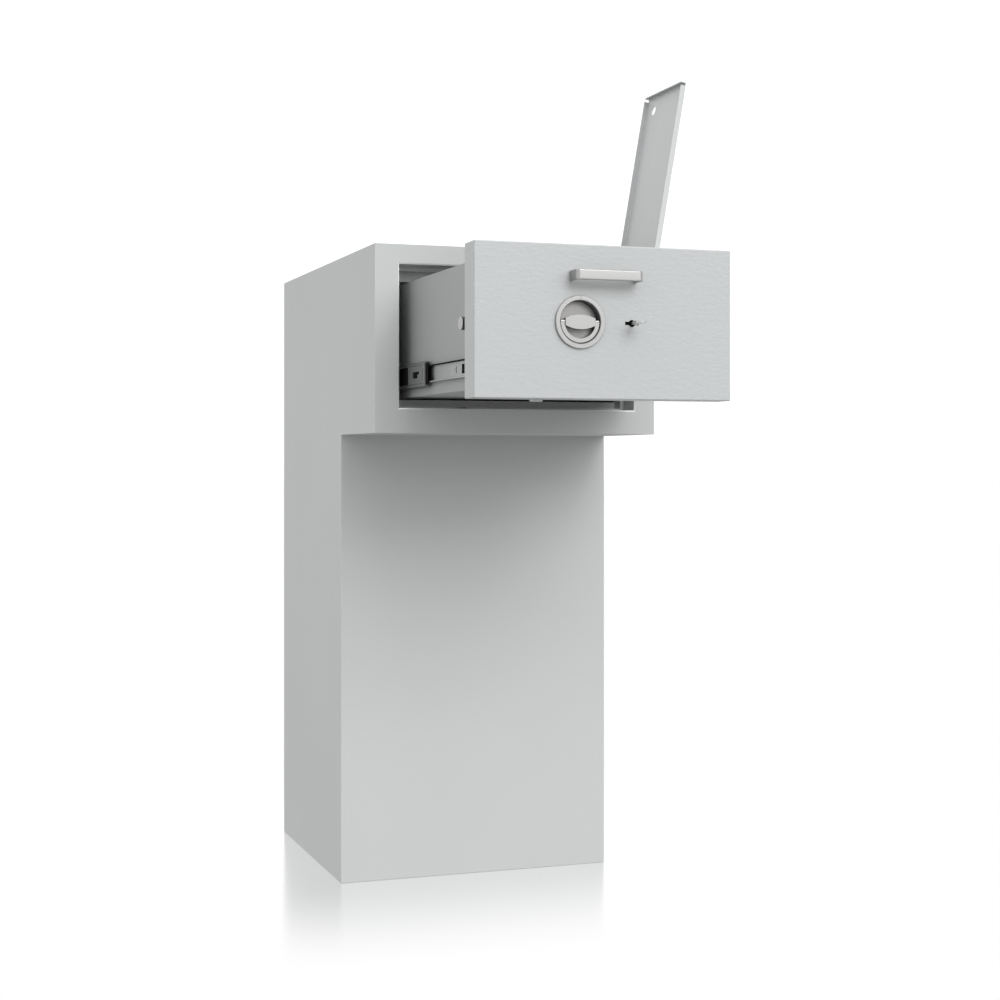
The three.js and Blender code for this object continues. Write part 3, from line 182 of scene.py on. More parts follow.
# Colour, roughness, metallic and grain, and the specular level where it isn't the usual one
LOOKS = {
    "casing_paint": ((0.466, 0.478, 0.476), 0.65, 0, SMOOTH, 0.2),
    "front_paint": ((0.398, 0.41, 0.412), 0.46, 0, PEEL),
    "inner_paint": ((0.272, 0.278, 0.279), 0.5, 0, SMOOTH),
    # painted light: a lighter paint for the strike frame, deep in the mouth where little light falls
    "strike_painted_light": ((0.66, 0.67, 0.67), 0.5, 0, SMOOTH),
    # painted highlight: a near-white paint for the mouth's sloping lip
    "lip_painted_highlight": ((0.85, 0.86, 0.86), 0.4, 0, SMOOTH),
    "lid_paint": ((0.46, 0.469, 0.471), 0.48, 0, SMOOTH),
    "zinc_steel": ((0.31, 0.319, 0.319), 0.42, 1, ROLLED),
    "dull_zinc": ((0.185, 0.19, 0.19), 0.48, 1, ROLLED),
    "satin_metal": ((0.36, 0.358, 0.355), 0.33, 1, SATIN),
    # painted highlight: a bright metal for the rounded front edges of the knob's lens and bail
    "painted_highlight_edge": ((0.78, 0.775, 0.77), 0.25, 1, SATIN),
    # a matt finish, and painted shade: darker for the disc deep in the knob's cup
    "matt_metal_painted_shade": ((0.235, 0.233, 0.23), 0.45, 1, MATT),
    # painted shade: a darker metal for the inside of the knob's cup
    "cup_painted_shade": ((0.18, 0.18, 0.18), 0.5, 1, MATT),
    # painted shade: near black, for the walls of holes, grooves and gaps that lie in shadow
    "painted_shade_black": ((0.004, 0.004, 0.004), 0.8, 0, DULL, 0.05),
    "plain_steel": ((0.42, 0.43, 0.44), 0.4, 1, DRAWN),
    "key_steel": ((0.5, 0.5, 0.5), 0.25, 1, WORN),
    "cast_filling": ((0.36, 0.35, 0.33), 0.9, 0, CAST),
}
MATERIALS = {name: surface(name, *look) for name, look in LOOKS.items()}


# Drawing in millimetres: every helper gives an object with a closed mesh

AXES = {"x": (1, 2, 0), "y": (0, 2, 1), "z": (0, 1, 2)}  # two axes across each, and itself


def around(middle, half):
    """The places at one distance on either side of a middle."""
    return (middle - half, middle + half)


def past(span, by):
    """A span made longer at both ends."""
    return (span[0] - by, span[1] + by)


def toward(side, start, end):
    """The span between two distances from the middle, on the side -1 or 1."""
    return sorted((side * start, side * end))


def to_object(bm):
    """An object with what was drawn, its faces turned outward."""
    mesh = bpy.data.meshes.new("drawn")
    bmesh.ops.recalc_face_normals(bm, faces=bm.faces)
    bm.to_mesh(mesh)
    bm.free()
    made = bpy.data.objects.new("drawn", mesh)
    bpy.context.scene.collection.objects.link(made)
    return made


def block(x, y, z, radius=0, segments=4):
    """A box between two places on each axis, with all its edges rounded."""
    bm = bmesh.new()
    bmesh.ops.create_cube(bm, size=1)
    for vertex in bm.verts:
        vertex.co = [
            low + (share + 0.5) * (high - low)
            for share, (low, high) in zip(vertex.co, (x, y, z))
        ]
    if radius:
        bmesh.ops.bevel(
            bm, geom=bm.edges[:], offset=radius, segments=segments, profile=0.5, affect="EDGES"
        )
    return to_object(bm)


def flared(x, y, z, grow):
    """A box whose front is wider than its rear on all four sides."""
    tool = block(x, y, z)
    for vertex in tool.data.vertices:
        if vertex.co.y < sum(y) / 2:
            vertex.co.x += math.copysign(grow, vertex.co.x - sum(x) / 2)
            vertex.co.z += math.copysign(grow, vertex.co.z - sum(z) / 2)
    return tool


def prism(axis, points, span, radius=0, segments=3):
    """An outline drawn across an axis and drawn out between two places on it."""
    u, v, w = AXES[axis]
    bm = bmesh.new()
    rings = []
    for place in span:
        ring = []
        for a, b in points:
            corner = [0, 0, 0]
            corner[u], corner[v], corner[w] = a, b, place
            ring.append(bm.verts.new(corner))
        rings.append(ring)
    bm.faces.new(rings[0])
    bm.faces.new(rings[1])
    for i in range(len(points)):
        j = (i + 1) % len(points)
        bm.faces.new((rings[0][i], rings[0][j], rings[1][j], rings[1][i]))
    if radius:
        sharp = [edge for edge in bm.edges if edge.calc_face_angle(0) > CORNER]
        bmesh.ops.bevel(bm, geom=sharp, offset=radius, segments=segments, profile=0.5, affect="EDGES")
    return to_object(bm)


def lathe(axis, profile, centre=(0, 0, 0), sides=96):
    """A closed outline of (radius, place along the axis) turned round the axis through a centre."""
    u, v, w = AXES[axis]
    bm = bmesh.new()
    rings = []
    for radius, along in profile:
        ring = []
        for i in range(sides if radius else 1):
            turn = 2 * math.pi * i / sides
            corner = [0, 0, 0]
            corner[u] = centre[u] + radius * math.cos(turn)
            corner[v] = centre[v] + radius * math.sin(turn)
            corner[w] = centre[w] + along
            ring.append(bm.verts.new(corner))
        rings.append(ring)
    for low, high in zip(rings, rings[1:] + rings[:1]):
        if len(low) == 1 and len(high) == 1:
            continue
        for i in range(sides):
            j = (i + 1) % sides
            corners = [low[i % len(low)], low[j % len(low)], high[j % len(high)], high[i % len(high)]]
            bm.faces.new(list(dict.fromkeys(corners)))
    return to_object(bm)


def rod(axis, radius, span, centre=(0, 0, 0), sides=64, chamfer=0):
    """A round bar between two places on an axis, with chamfered ends."""
    low, high = span
    profile = [(0, low), (radius, low), (radius, high), (0, high)]
    if chamfer:
        rim = radius - chamfer
        profile = [(0, low), (rim, low), (radius, low + chamfer)]
        profile += [(radius, high - chamfer), (rim, high), (0, high)]
    flat = list(centre)
    flat[AXES[axis][2]] = 0
    return lathe(axis, profile, flat, sides)


def arc(centre, radius, start, end, steps):
    """Points on an arc from one angle to another, in degrees."""
    turns = [math.radians(start + (end - start) * i / steps) for i in range(steps + 1)]
    return [(centre[0] + radius * math.cos(t), centre[1] + radius * math.sin(t)) for t in turns]


def bake(target):
    """Takes the modifiers' result into the mesh."""
    graph = bpy.context.evaluated_depsgraph_get()
    mesh = bpy.data.meshes.new_from_object(target.evaluated_get(graph))
    old = target.data
    target.modifiers.clear()
    target.data = mesh
    bpy.data.meshes.remove(old)


def combine(target, tools, operation):
    """Joins the tools to the target, or cuts them from it, and deletes them."""
    for tool in tools:
        modifier = target.modifiers.new("combine", "BOOLEAN")
        modifier.operation = operation
        modifier.solver = "EXACT"
        modifier.object = tool
    bake(target)
    for tool in tools:
        mesh = tool.data
        bpy.data.objects.remove(tool)
        bpy.data.meshes.remove(mesh)
    return target


def cut(target, *tools):
    return combine(target, tools, "DIFFERENCE")


def join(target, *tools):
    return combine(target, tools, "UNION")


def clean(mesh, merge):
    """Merges what touches and, where asked, joins flat neighbours to one face."""
    bm = bmesh.new()
    bm.from_mesh(mesh)
    bmesh.ops.remove_doubles(bm, verts=bm.verts, dist=WELD)
    bmesh.ops.dissolve_degenerate(bm, edges=bm.edges, dist=WELD)
    if merge:
        bmesh.ops.dissolve_limit(bm, angle_limit=FLAT, verts=bm.verts, edges=bm.edges)
    bmesh.ops.recalc_face_normals(bm, faces=bm.faces)
    bm.to_mesh(mesh)
    bm.free()


def is_closed(mesh):
    bm = bmesh.new()
    bm.from_mesh(mesh)
    closed = all(edge.is_manifold for edge in bm.edges)
    bm.free()
    return closed


def soften(target, width, segments, merge):
    """Rounds what is still sharp, as wide as leaves the mesh closed, and shades bends smooth."""
    clean(target.data, merge)
    plain = target.data.copy()
    for share in SOFT_SHARES if width else ():
        bevel = target.modifiers.new("soft", "BEVEL")
        bevel.width = width * share
        bevel.segments = segments
        bevel.limit_method = "ANGLE"
        bevel.angle_limit = SOFT_CORNER
        bake(target)
        if is_closed(target.data):
            break
        old = target.data
        target.data = plain.copy()
        bpy.data.meshes.remove(old)
    bpy.data.meshes.remove(plain)

    bm = bmesh.new()
    bm.from_mesh(target.data)
    for edge in bm.edges:
        edge.smooth = edge.calc_face_angle(math.pi) < CREASE
    for face in bm.faces:
        face.smooth = True
    bm.to_mesh(target.data)
    bm.free()
    normals = target.modifiers.new("normals", "WEIGHTED_NORMAL")
    normals.keep_sharp = True
    normals.weight = NORMAL_WEIGHT
    bake(target)


def finish(target, name, origin, nodes, soft=0.3, segments=2, material=None, turn=None, merge=True):
    """Softens the sharp edges, brings the piece to the row frame and hangs it on its body."""
    mesh = target.data
    if turn:
        mesh.transform(turn)
    mesh.transform(Matrix.Scale(METRE, 4) @ Matrix.Translation(origin))
    target.name = name
    soften(target, soft * METRE, segments, merge)
    target.data.name = name
    slot = SLOT_OF[nodes[0]]
    target.data.materials.clear()
    target.data.materials.append(MATERIALS[material or slot])
    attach(target, BODY_OF[nodes[0]])
    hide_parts(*nodes)
    return target


def tint(piece, material, is_chosen):
    """Gives the faces whose middle, in millimetres, is chosen another material."""
    mesh = piece.data
    mesh.materials.append(MATERIALS[material])
    for face in mesh.polygons:
        if is_chosen(face.center / METRE):
            face.material_index = len(mesh.materials) - 1


def dress(node, soft, material=None, merge=True):
    """A piece drawn from a node's own solid, with softened edges."""
    source = frame["nodes"][node]
    mesh = source.data.copy()
    for layer in list(mesh.uv_layers):
        mesh.uv_layers.remove(layer)
    if mesh.has_custom_normals:
        mesh.attributes.remove(mesh.attributes["custom_normal"])
    made = bpy.data.objects.new("drawn", mesh)
    bpy.context.scene.collection.objects.link(made)
    mesh.transform(Matrix.Scale(1 / METRE, 4))
    return finish(made, f"{node}_skin", Vector(), [node], soft, material=material, merge=merge)


# The casing: one folded and welded shell, with the drawer's mouth and the rear doorway

CASING_HALF = 227.5
CASING_DEPTH = 627
CASING_HEIGHT = 1000
HEAD_BOTTOM = 717
BASE_FRONT = 204
SHEET = 4
THICK_SHEET = 6
CASING_BEND = 3.2
MOUTH_HALF = 191.5
MOUTH_HIGH = 970.5
FLARE = 2
FLARE_LEAD = 1
LIP_DEPTHS = (0.15, 1.9)  # where the mouth's sloping lip, painted as a highlight, has the middles of its faces
DOORWAY_HALF = 150
DOORWAY_RISE = 280
ANCHORS = [(x, y) for x in around(MOUTH_X, 120) for y in (294, 504)]
ANCHOR_RADIUS = 7


def build_casing():
    """The eight plates as one shell, open at the mouth, the doorway and the anchor holes."""
    outside = [
        (0, HEAD_BOTTOM), (BASE_FRONT, HEAD_BOTTOM), (BASE_FRONT, 0),
        (CASING_DEPTH, 0), (CASING_DEPTH, CASING_HEIGHT), (0, CASING_HEIGHT),
    ]
    front = THICK_SHEET + SEAM
    knee = BASE_FRONT + SHEET
    back = CASING_DEPTH - SHEET
    low = HEAD_BOTTOM + SHEET
    high = CASING_HEIGHT - SHEET
    inside = [
        (front, low), (knee, low), (knee, THICK_SHEET), (back, THICK_SHEET), (back, high), (front, high),
    ]
    shell = prism("x", outside, around(0, CASING_HALF), radius=CASING_BEND, segments=4)
    hollow = prism("x", inside, around(0, CASING_HALF - SHEET))
    wide = around(MOUTH_X, MOUTH_HALF)
    tall = (MOUTH_LOW + FLARE, MOUTH_HIGH)
    mouth = block(wide, (-OVERRUN, front + OVERRUN), tall)
    flare = flared(wide, (-FLARE_LEAD, FLARE), tall, FLARE + FLARE_LEAD)
    doorway = block(
        around(MOUTH_X, DOORWAY_HALF),
        (back - OVERRUN, CASING_DEPTH + OVERRUN),
        around(DOORWAY_MIDDLE, DOORWAY_RISE),
    )
    holes = [rod("z", ANCHOR_RADIUS, past((0, THICK_SHEET), OVERRUN), (x, y, 0)) for x, y in ANCHORS]
    casing = cut(shell, hollow, mouth, flare, doorway, *holes)
    nodes = [
        "head_frame", "side_panel_left", "side_panel_right", "top_panel", "overhang_panel",
        "knee_panel", "back_panel", "base_plate",
    ]
    skin = finish(casing, "casing", HOUSING, nodes, soft=0.7, segments=3)

    reach = FLARE + FLARE_LEAD

    def is_lip_highlight(at):
        start, end = LIP_DEPTHS
        is_beside = abs(at.x - MOUTH_X) < MOUTH_HALF + reach
        is_level = MOUTH_LOW - reach < at.z < MOUTH_HIGH + reach
        return start < at.y - HOUSING.y < end and is_beside and is_level

    # Painted highlight: the faces of the mouth's sloping lip get a near-white paint
    tint(skin, "lip_painted_highlight", is_lip_highlight)


# The drawer's front and the fittings on it

FRONT_HALF = 187.5
FRONT_Z = (5.5, 214)
FRONT_DEPTH = 39.5
FRONT_SKIN = 3
FRONT_BEND = 1.8
KNOB = (-37.6, 0, 109.2)
LOCK = (38.6, 0, 109.1)
CUP_HOLE = 30.75
KEYHOLE_HALF = 10
KEYHOLE_RISE = 2.3
KEYHOLE_RADIUS = 4.8
KEYHOLE_REACH = KEYHOLE_HALF + 1
KEYHOLE_DEPTHS = (0.5, 3.2)  # where the keyhole's walls, painted near black as shade, have the middles of their faces


def build_front():
    """A hollow pan whose front edges are bent and whose rear is open."""
    rim = FRONT_DEPTH + OVERRUN
    slab = block(around(0, FRONT_HALF), (0, rim), FRONT_Z, radius=FRONT_BEND, segments=4)
    rear = block(
        around(0, FRONT_HALF + OVERRUN), (FRONT_DEPTH, rim + OVERRUN), past(FRONT_Z, OVERRUN)
    )
    hollow = block(
        around(0, FRONT_HALF - FRONT_SKIN), (FRONT_SKIN, rim + OVERRUN), past(FRONT_Z, -FRONT_SKIN)
    )
    span = (-OVERRUN, FRONT_DEPTH)
    cup = rod("y", CUP_HOLE, span, KNOB, sides=128)
    slot = block(around(LOCK[0], KEYHOLE_HALF), span, around(LOCK[2], KEYHOLE_RISE))
    eye = rod("y", KEYHOLE_RADIUS, span, LOCK)
    front = cut(slab, rear, hollow, cup, slot, eye)
    pan = finish(front, "drawer_front_pan", TRAY, ["drawer_front"], soft=0.4, material="front_paint")
    lock = TRAY + Vector(LOCK)

    def is_in_keyhole(at):
        start, end = KEYHOLE_DEPTHS
        return (at - lock).xz.length < KEYHOLE_REACH and start < at.y - TRAY.y < end

    # Painted shade: the keyhole's walls are near black, standing for the dark inside the lock
    tint(pan, "painted_shade_black", is_in_keyhole)


PULL = dict(x=-3.8, z=171, width=98, height=14, reach=26, sheet=5, bend=7, edge=1.6)


def build_pull():
    """A flat strap with bent ends, drawn as one closed outline seen from above."""
    half = PULL["width"] / 2
    inner = half - PULL["sheet"]
    bend = PULL["bend"]
    tight = bend - PULL["sheet"]
    left = (-half + bend, -PULL["reach"] + bend)
    right = (half - bend, -PULL["reach"] + bend)
    outline = [(-half, -SEAM)] + arc(left, bend, 180, 270, 12) + arc(right, bend, 270, 360, 12)
    outline += [(half, -SEAM), (inner, -SEAM)]
    outline += arc(right, tight, 360, 270, 12) + arc(left, tight, 270, 180, 12) + [(-inner, -SEAM)]
    points = [(x + PULL["x"], y) for x, y in outline]
    strap = prism("z", points, around(PULL["z"], PULL["height"] / 2))
    finish(strap, "pull_handle_strap", TRAY, ["pull_handle"], soft=PULL["edge"], segments=4)


CHAMFER = 0.4
RING_OUTER = 35.9
RING_BORE = 29.15
RING_DEPTH = 4
RING_EDGE = 0.8  # chamfer along the axis, and across it in the bore
RING_SLOPE = 0.7  # chamfer across the axis outside
MARK_HALF = 0.35
MARK_Y = (-RING_DEPTH - 1, -RING_DEPTH + 0.7)
MARK_Z = (RING_BORE + 1.2, RING_OUTER - 1.4)
CUP_OUTER = 30.45
CUP_BORE = 6.5
CUP_DEPTH = 13.5
CUP_FLOOR = 12
CUP_START = 1  # from this depth on, the cup is painted darker as its shade


def build_ring():
    """The ring round the knob and the cup behind it, in one piece."""
    profile = [
        (CUP_BORE, CUP_DEPTH), (CUP_OUTER, CUP_DEPTH), (CUP_OUTER, -SEAM), (RING_OUTER, -SEAM),
        (RING_OUTER, -RING_DEPTH + RING_EDGE), (RING_OUTER - RING_SLOPE, -RING_DEPTH),
        (RING_BORE + RING_EDGE, -RING_DEPTH), (RING_BORE, -RING_DEPTH + RING_EDGE),
        (RING_BORE, CUP_FLOOR), (CUP_BORE, CUP_FLOOR),
    ]
    rosette = lathe("y", profile, KNOB, sides=144)
    mark = block(around(KNOB[0], MARK_HALF), MARK_Y, [KNOB[2] + place for place in MARK_Z])
    ring = finish(cut(rosette, mark), "knob_ring", TRAY, ["knob_rosette"], soft=0)
    # Painted shade: the cup behind the ring's front is painted darker
    tint(ring, "cup_painted_shade", lambda at: at.y > TRAY.y + CUP_START)


DISC_Y = (9.9, 11.7)
DISC_RADIUS = 28.6
LENS_HALF = 21.6
LENS_RISE = 9.75
LENS_END = 4.75
LENS_BEND = 1.7
LENS_FRONT = -3.4
LENS_FLAT = 0.3  # depth up to which the lens's front has no painted highlight
LENS_TAIL = 2.5  # what is trimmed off behind the disc's front
LENS_SINK = 0.2
BAIL_Y = 0.4
BAIL_RISE = 0.8
PIVOT_BORE = 1.8
PIVOT_BORE_DEPTH = 3.3


def build_knob():
    """A disc that carries a lens-shaped grip with a bore for the bail at each end."""
    sag = LENS_RISE - LENS_END
    radius = (LENS_HALF * LENS_HALF + sag * sag) / (2 * sag)
    spread = math.degrees(math.asin(LENS_HALF / radius))
    upper = arc((0, LENS_RISE - radius), radius, 90 - spread, 90 + spread, 20)
    lower = arc((0, radius - LENS_RISE), radius, 270 - spread, 270 + spread, 20)
    lens = [(KNOB[0] + x, KNOB[2] + z) for x, z in upper + lower]
    seat = DISC_Y[0]
    grip = prism("y", lens, (LENS_FRONT, seat + LENS_TAIL), radius=LENS_BEND, segments=2)
    trim = block(
        around(KNOB[0], LENS_HALF + OVERRUN), (seat, seat + OVERRUN), around(KNOB[2], LENS_RISE + OVERRUN)
    )
    bores = []
    for side in (-1, 1):
        bottom = KNOB[0] + side * (LENS_HALF - PIVOT_BORE_DEPTH)
        mouth = KNOB[0] + side * (LENS_HALF + OVERRUN)
        axis = (0, BAIL_Y, KNOB[2] + BAIL_RISE)
        bores.append(rod("x", PIVOT_BORE, sorted((bottom, mouth)), axis, sides=44))
    grip = cut(grip, trim, *bores)
    grip.data.transform(Matrix.Translation((0, LENS_SINK, 0)))
    disc = rod("y", DISC_RADIUS, DISC_Y, KNOB, sides=128, chamfer=CHAMFER)
    knob = finish(join(disc, grip), "knob_grip", TRAY, ["turn_knob"], soft=0.15)
    front = TRAY.y + LENS_FRONT
    # The disc behind the grip is matt, and painted darker as the shade deep in the cup
    tint(knob, "matt_metal_painted_shade", lambda at: at.y > TRAY.y + seat - SEAM)
    # Painted highlight: the lens's rounded front edge gets a bright metal
    tint(knob, "painted_highlight_edge", lambda at: front + LENS_FLAT < at.y < front + LENS_BEND + LENS_SINK)


BAIL_OUTER = 27.8
BAIL_INNER = 22.4
BAIL_DEPTH = 4
BAIL_BEND = 1.5
BAIL_FLAT = 0.1  # the same for the bail's front
LUG_RADIUS = 2.2
PIVOT_RADIUS = 1.5
PIVOT_DEPTH = 2.8
PIVOT_ROOT = 1


def build_bail():
    """A half ring that ends in two lugs, each with a pivot in the grip."""
    y = around(BAIL_Y, BAIL_DEPTH / 2)
    end = BAIL_RISE - 2 * MISS
    outline = [(-BAIL_OUTER, end)] + arc((0, 0), BAIL_OUTER, 180, 360, 48)
    outline += [(BAIL_OUTER, end), (BAIL_INNER, end)]
    outline += arc((0, 0), BAIL_INNER, 360, 180, 48) + [(-BAIL_INNER, end)]
    points = [(KNOB[0] + x, KNOB[2] + z) for x, z in outline]
    loop = prism("y", points, y, radius=BAIL_BEND, segments=2)
    axis = (0, BAIL_Y, KNOB[2] + BAIL_RISE)
    parts = []
    for side in (-1, 1):
        lug = [KNOB[0] + x for x in toward(side, BAIL_INNER + MISS, BAIL_OUTER - MISS)]
        pivot = [KNOB[0] + x for x in toward(side, LENS_HALF - PIVOT_DEPTH, BAIL_INNER + PIVOT_ROOT)]
        parts.append(rod("x", LUG_RADIUS, lug, axis, sides=48, chamfer=CHAMFER))
        parts.append(rod("x", PIVOT_RADIUS, pivot, axis, sides=32))
    bail = finish(join(loop, *parts), "knob_bail_loop", TRAY, ["knob_bail"], soft=0.2)
    # Painted highlight: the bail's rounded front edge gets a bright metal
    tint(bail, "painted_highlight_edge", lambda at: y[0] + BAIL_FLAT < at.y - TRAY.y < y[0] + BAIL_BEND)


KEY_Y = (-17, 50.3)
SHANK_RADIUS = 2.4
COLLAR_RADIUS = 3
COLLAR_Y = (-17.5, -12)
COLLAR_CHAMFER = 0.5
BIT_HALF = 9.5
BIT_LENGTH = 8
BIT_RISE = 1.45
BOW_Y = -26
BOW_RADII = (9, 10)
BOW_RISE = 1.25
BOW_BEND = 0.5
EYE_RADIUS = 3.2
EYE_SHIFT = 3


def build_key():
    """A double-bit key with an oval bow."""
    end = KEY_Y[1]
    shank = rod("y", SHANK_RADIUS, KEY_Y, LOCK, sides=48, chamfer=CHAMFER)
    collar = rod("y", COLLAR_RADIUS, COLLAR_Y, LOCK, sides=48, chamfer=COLLAR_CHAMFER)
    bits = block(around(LOCK[0], BIT_HALF), (end - BIT_LENGTH, end - MISS), around(LOCK[2], BIT_RISE))
    turns = [math.tau * i / 48 for i in range(48)]
    wide, long = BOW_RADII
    bow = [(LOCK[0] + wide * math.cos(t), BOW_Y + long * math.sin(t)) for t in turns]
    plate = prism("z", bow, around(LOCK[2], BOW_RISE), radius=BOW_BEND)
    eye = rod("z", EYE_RADIUS, around(LOCK[2], OVERRUN), (LOCK[0], BOW_Y - EYE_SHIFT, 0), sides=32)
    key = cut(join(shank, collar, bits, plate), eye)
    finish(key, "key_with_bow", TRAY, ["key"], soft=0.2)


# The slides: bent strips whose outlines follow a line with rounded corners.
# A line's upper half is drawn, as (distance from the web's face, height over its middle).

SLIDE_Z = 48.5
SLIDE_FACE = 185.5  # from the bay's middle to the slides' outer plane
STRIP = 1.5
MEMBER_Y = (48, 498)
WEB_OVERRUN = 4
SLIDE_SOFT = 0.15
BEND_ROOM = 2.01  # a bend takes a little less than half of a straight stretch


def rounded(points, radius, steps=5):
    """A line of points whose inner corners are replaced by arcs."""
    out = [Vector(points[0])]
    for before, here, after in zip(points, points[1:], points[2:]):
        before, here, after = Vector(before), Vector(here), Vector(after)
        back = (before - here).normalized()
        ahead = (after - here).normalized()
        half = back.angle(ahead) / 2
        room = min((before - here).length, (after - here).length) / BEND_ROOM
        reach = min(radius / math.tan(half), room)
        size = reach * math.tan(half)
        middle = here + (back + ahead).normalized() * (size / math.sin(half))
        first = here + back * reach - middle
        last = here + ahead * reach - middle
        sweep = first.angle_signed(last)
        for i in range(steps + 1):
            turn = -sweep * i / steps
            c, s = math.cos(turn), math.sin(turn)
            out.append(middle + Vector((first.x * c - first.y * s, first.x * s + first.y * c)))
    out.append(Vector(points[-1]))
    return out


def ribbon(line, thickness):
    """The closed outline of a strip whose left edge follows a line."""
    other = []
    for i, here in enumerate(line):
        before = line[max(i - 1, 0)]
        after = line[min(i + 1, len(line) - 1)]
        along = (after - before).normalized()
        other.append(here + Vector((along.y, -along.x)) * thickness)
    return [tuple(p) for p in line] + [tuple(p) for p in reversed(other)]


def slide_strip(side, face, facing, upper, bend, span):
    """A bent strip along the slide, whose web's face is this far from the bay's middle."""
    whole = [(u, -v) for u, v in reversed(upper)] + upper
    outline = ribbon(rounded(whole, bend), STRIP)
    drawn = [(side * (face + facing * u), SLIDE_Z + v) for u, v in outline]
    return prism("y", drawn, span)


def raised(side, face, sink, rise, y, z, **edges):
    """A block from under a web's face to over it, at heights over the slide's middle."""
    heights = [SLIDE_Z + place for place in z]
    return block(toward(side, face - sink, face + rise), y, heights, **edges)


FIXED_LINE = [(0, 22.85), (8.8, 22.85), (8.8, 18.9)]
FIXED_BEND = 2.4
FIXED_SCREWS = (96, 224, 352, 468)
SCREW_RADIUS = 3


def build_fixed_member(name, side):
    """A deep channel with curled edges."""
    strip = slide_strip(side, SLIDE_FACE - SEAM, -1, FIXED_LINE, FIXED_BEND, MEMBER_Y)
    through = toward(side, SLIDE_FACE - OVERRUN, SLIDE_FACE + PLAY)
    screws = [rod("x", SCREW_RADIUS, through, (0, y, SLIDE_Z)) for y in FIXED_SCREWS]
    fixed = cut(strip, *screws)
    finish(fixed, f"slide_fixed_{name}", BAY, [f"slide_cabinet_{name}"], soft=SLIDE_SOFT)


BETWEEN_FACE = SLIDE_FACE - 3.3
BETWEEN_Y = (70, 490)
BETWEEN_LINE = [(0, 12.4), (1.2, 13.6), (1.2, 18.35), (7.4, 18.35), (7.4, 13.2)]
BETWEEN_BEND = 1.5
PLATE = dict(sink=0.2, rise=0.8, y=(82, 142), z=(-8.6, 8.6), radius=0.35, segments=2)
RIDGE = dict(sink=6, rise=1.1, y=(70, 73), z=(-17, 17), radius=0.7, segments=3)
GUARD = dict(sink=0.4, rise=0.5, y=(153.6, 240), z=(-13, 13))
CAGE = dict(sink=2.9, rise=-1.3, y=(59, 130), z=(-15.5, 15.5))
WINDOW = dict(sink=1.1, rise=3, y=(97, 130), z=(-4.8, 4.8))
TAB = dict(sink=1.6, rise=-0.4, y=(96, 109), z=(-5.8, 1))
BETWEEN_HOLES = (300, 424)
BETWEEN_HOLE_RADIUS = 2.6
CAGE_DEPTHS = (1.55, 3)  # where the cage plate, painted near black as shade, shows behind the web


def build_middle_member(name, side):
    """Raceways pressed along both edges, a raised plate with a window, a guard and a cage plate."""
    face = BETWEEN_FACE
    strip = slide_strip(side, face, -1, BETWEEN_LINE, BETWEEN_BEND, BETWEEN_Y)
    plates = [raised(side, face, **plate) for plate in (PLATE, RIDGE, GUARD, CAGE)]
    window = raised(side, face, **WINDOW)
    through = toward(side, face - WEB_OVERRUN, face + WINDOW["rise"])
    holes = [
        rod("x", BETWEEN_HOLE_RADIUS, through, (0, y, SLIDE_Z), sides=32) for y in BETWEEN_HOLES
    ]
    member = join(cut(join(strip, *plates), window, *holes), raised(side, face, **TAB))
    skin = finish(
        member,
        f"slide_between_{name}",
        MIDDLE,
        [f"slide_middle_{name}"],
        soft=SLIDE_SOFT,
        material="dull_zinc",
    )
    guard_start, guard_end = past(GUARD["y"], 1)
    cage_start, cage_end = CAGE_DEPTHS

    # Painted shade: the guard, the cage plate behind the web and the window's floor are near black, for
    # the shadow in those gaps
    def is_painted_shade(at):
        depth = face - side * (at.x - MIDDLE.x)
        along = at.y - MIDDLE.y
        is_guard = depth < -SEAM and guard_start < along < guard_end
        is_cage = cage_start < depth < cage_end or along < BETWEEN_Y[0] - TINT_MARGIN
        is_window_floor = abs(depth - WINDOW["sink"]) < MISS
        return is_guard or is_cage or is_window_floor

    tint(skin, "painted_shade_black", is_painted_shade)


INNER_FACE = SLIDE_FACE - 12.7
INNER_LINE = [(0, 12.35), (6.2, 12.35)]
INNER_BEND = 2
NOTCH_Y = (80, 92)
NOTCH_RISE = 6.5
MOON_Y = 114.5
MOON_RADIUS = 4.6
MOON_SHIFT = 2.6
WEB_DEPTHS = (0.2, 1.4)  # where the walls of the holes in the web, painted near black as shade, have the middles of their faces


def build_drawer_member(name, side):
    """A shallow channel with a crescent slot and a notch near its front."""
    face = INNER_FACE
    strip = slide_strip(side, face, 1, INNER_LINE, INNER_BEND, MEMBER_Y)
    through = toward(side, face + SEAM, face + WEB_OVERRUN)
    notch = block(through, NOTCH_Y, around(SLIDE_Z, NOTCH_RISE))
    moon = arc((0, 0), MOON_RADIUS, -90, 90, 12) + arc((-MOON_SHIFT, 0), MOON_RADIUS, 60, -60, 8)
    crescent = prism("x", [(MOON_Y + u, SLIDE_Z + v) for u, v in moon], through)
    member = cut(strip, notch, crescent)
    skin = finish(member, f"slide_inner_{name}", TRAY, [f"slide_drawer_{name}"], soft=SLIDE_SOFT)
    flange = TRAY.z + SLIDE_Z + INNER_LINE[0][1] - STRIP - TINT_MARGIN
    start, end = WEB_DEPTHS

    # Painted shade: the upper flange and the walls of the notch and the crescent are near black, for the
    # shadow above the member and in its holes
    def is_painted_shade(at):
        is_in_web = start < side * (at.x - TRAY.x) - face < end and at.z < flange - STRIP
        is_in_hole = is_in_web and NOTCH_Y[0] - TINT_MARGIN < at.y - TRAY.y < MOON_Y + OVERRUN
        return at.z > flange or is_in_hole

    tint(skin, "painted_shade_black", is_painted_shade)


# The bolts and the forks that the pins of the knob's spindle move

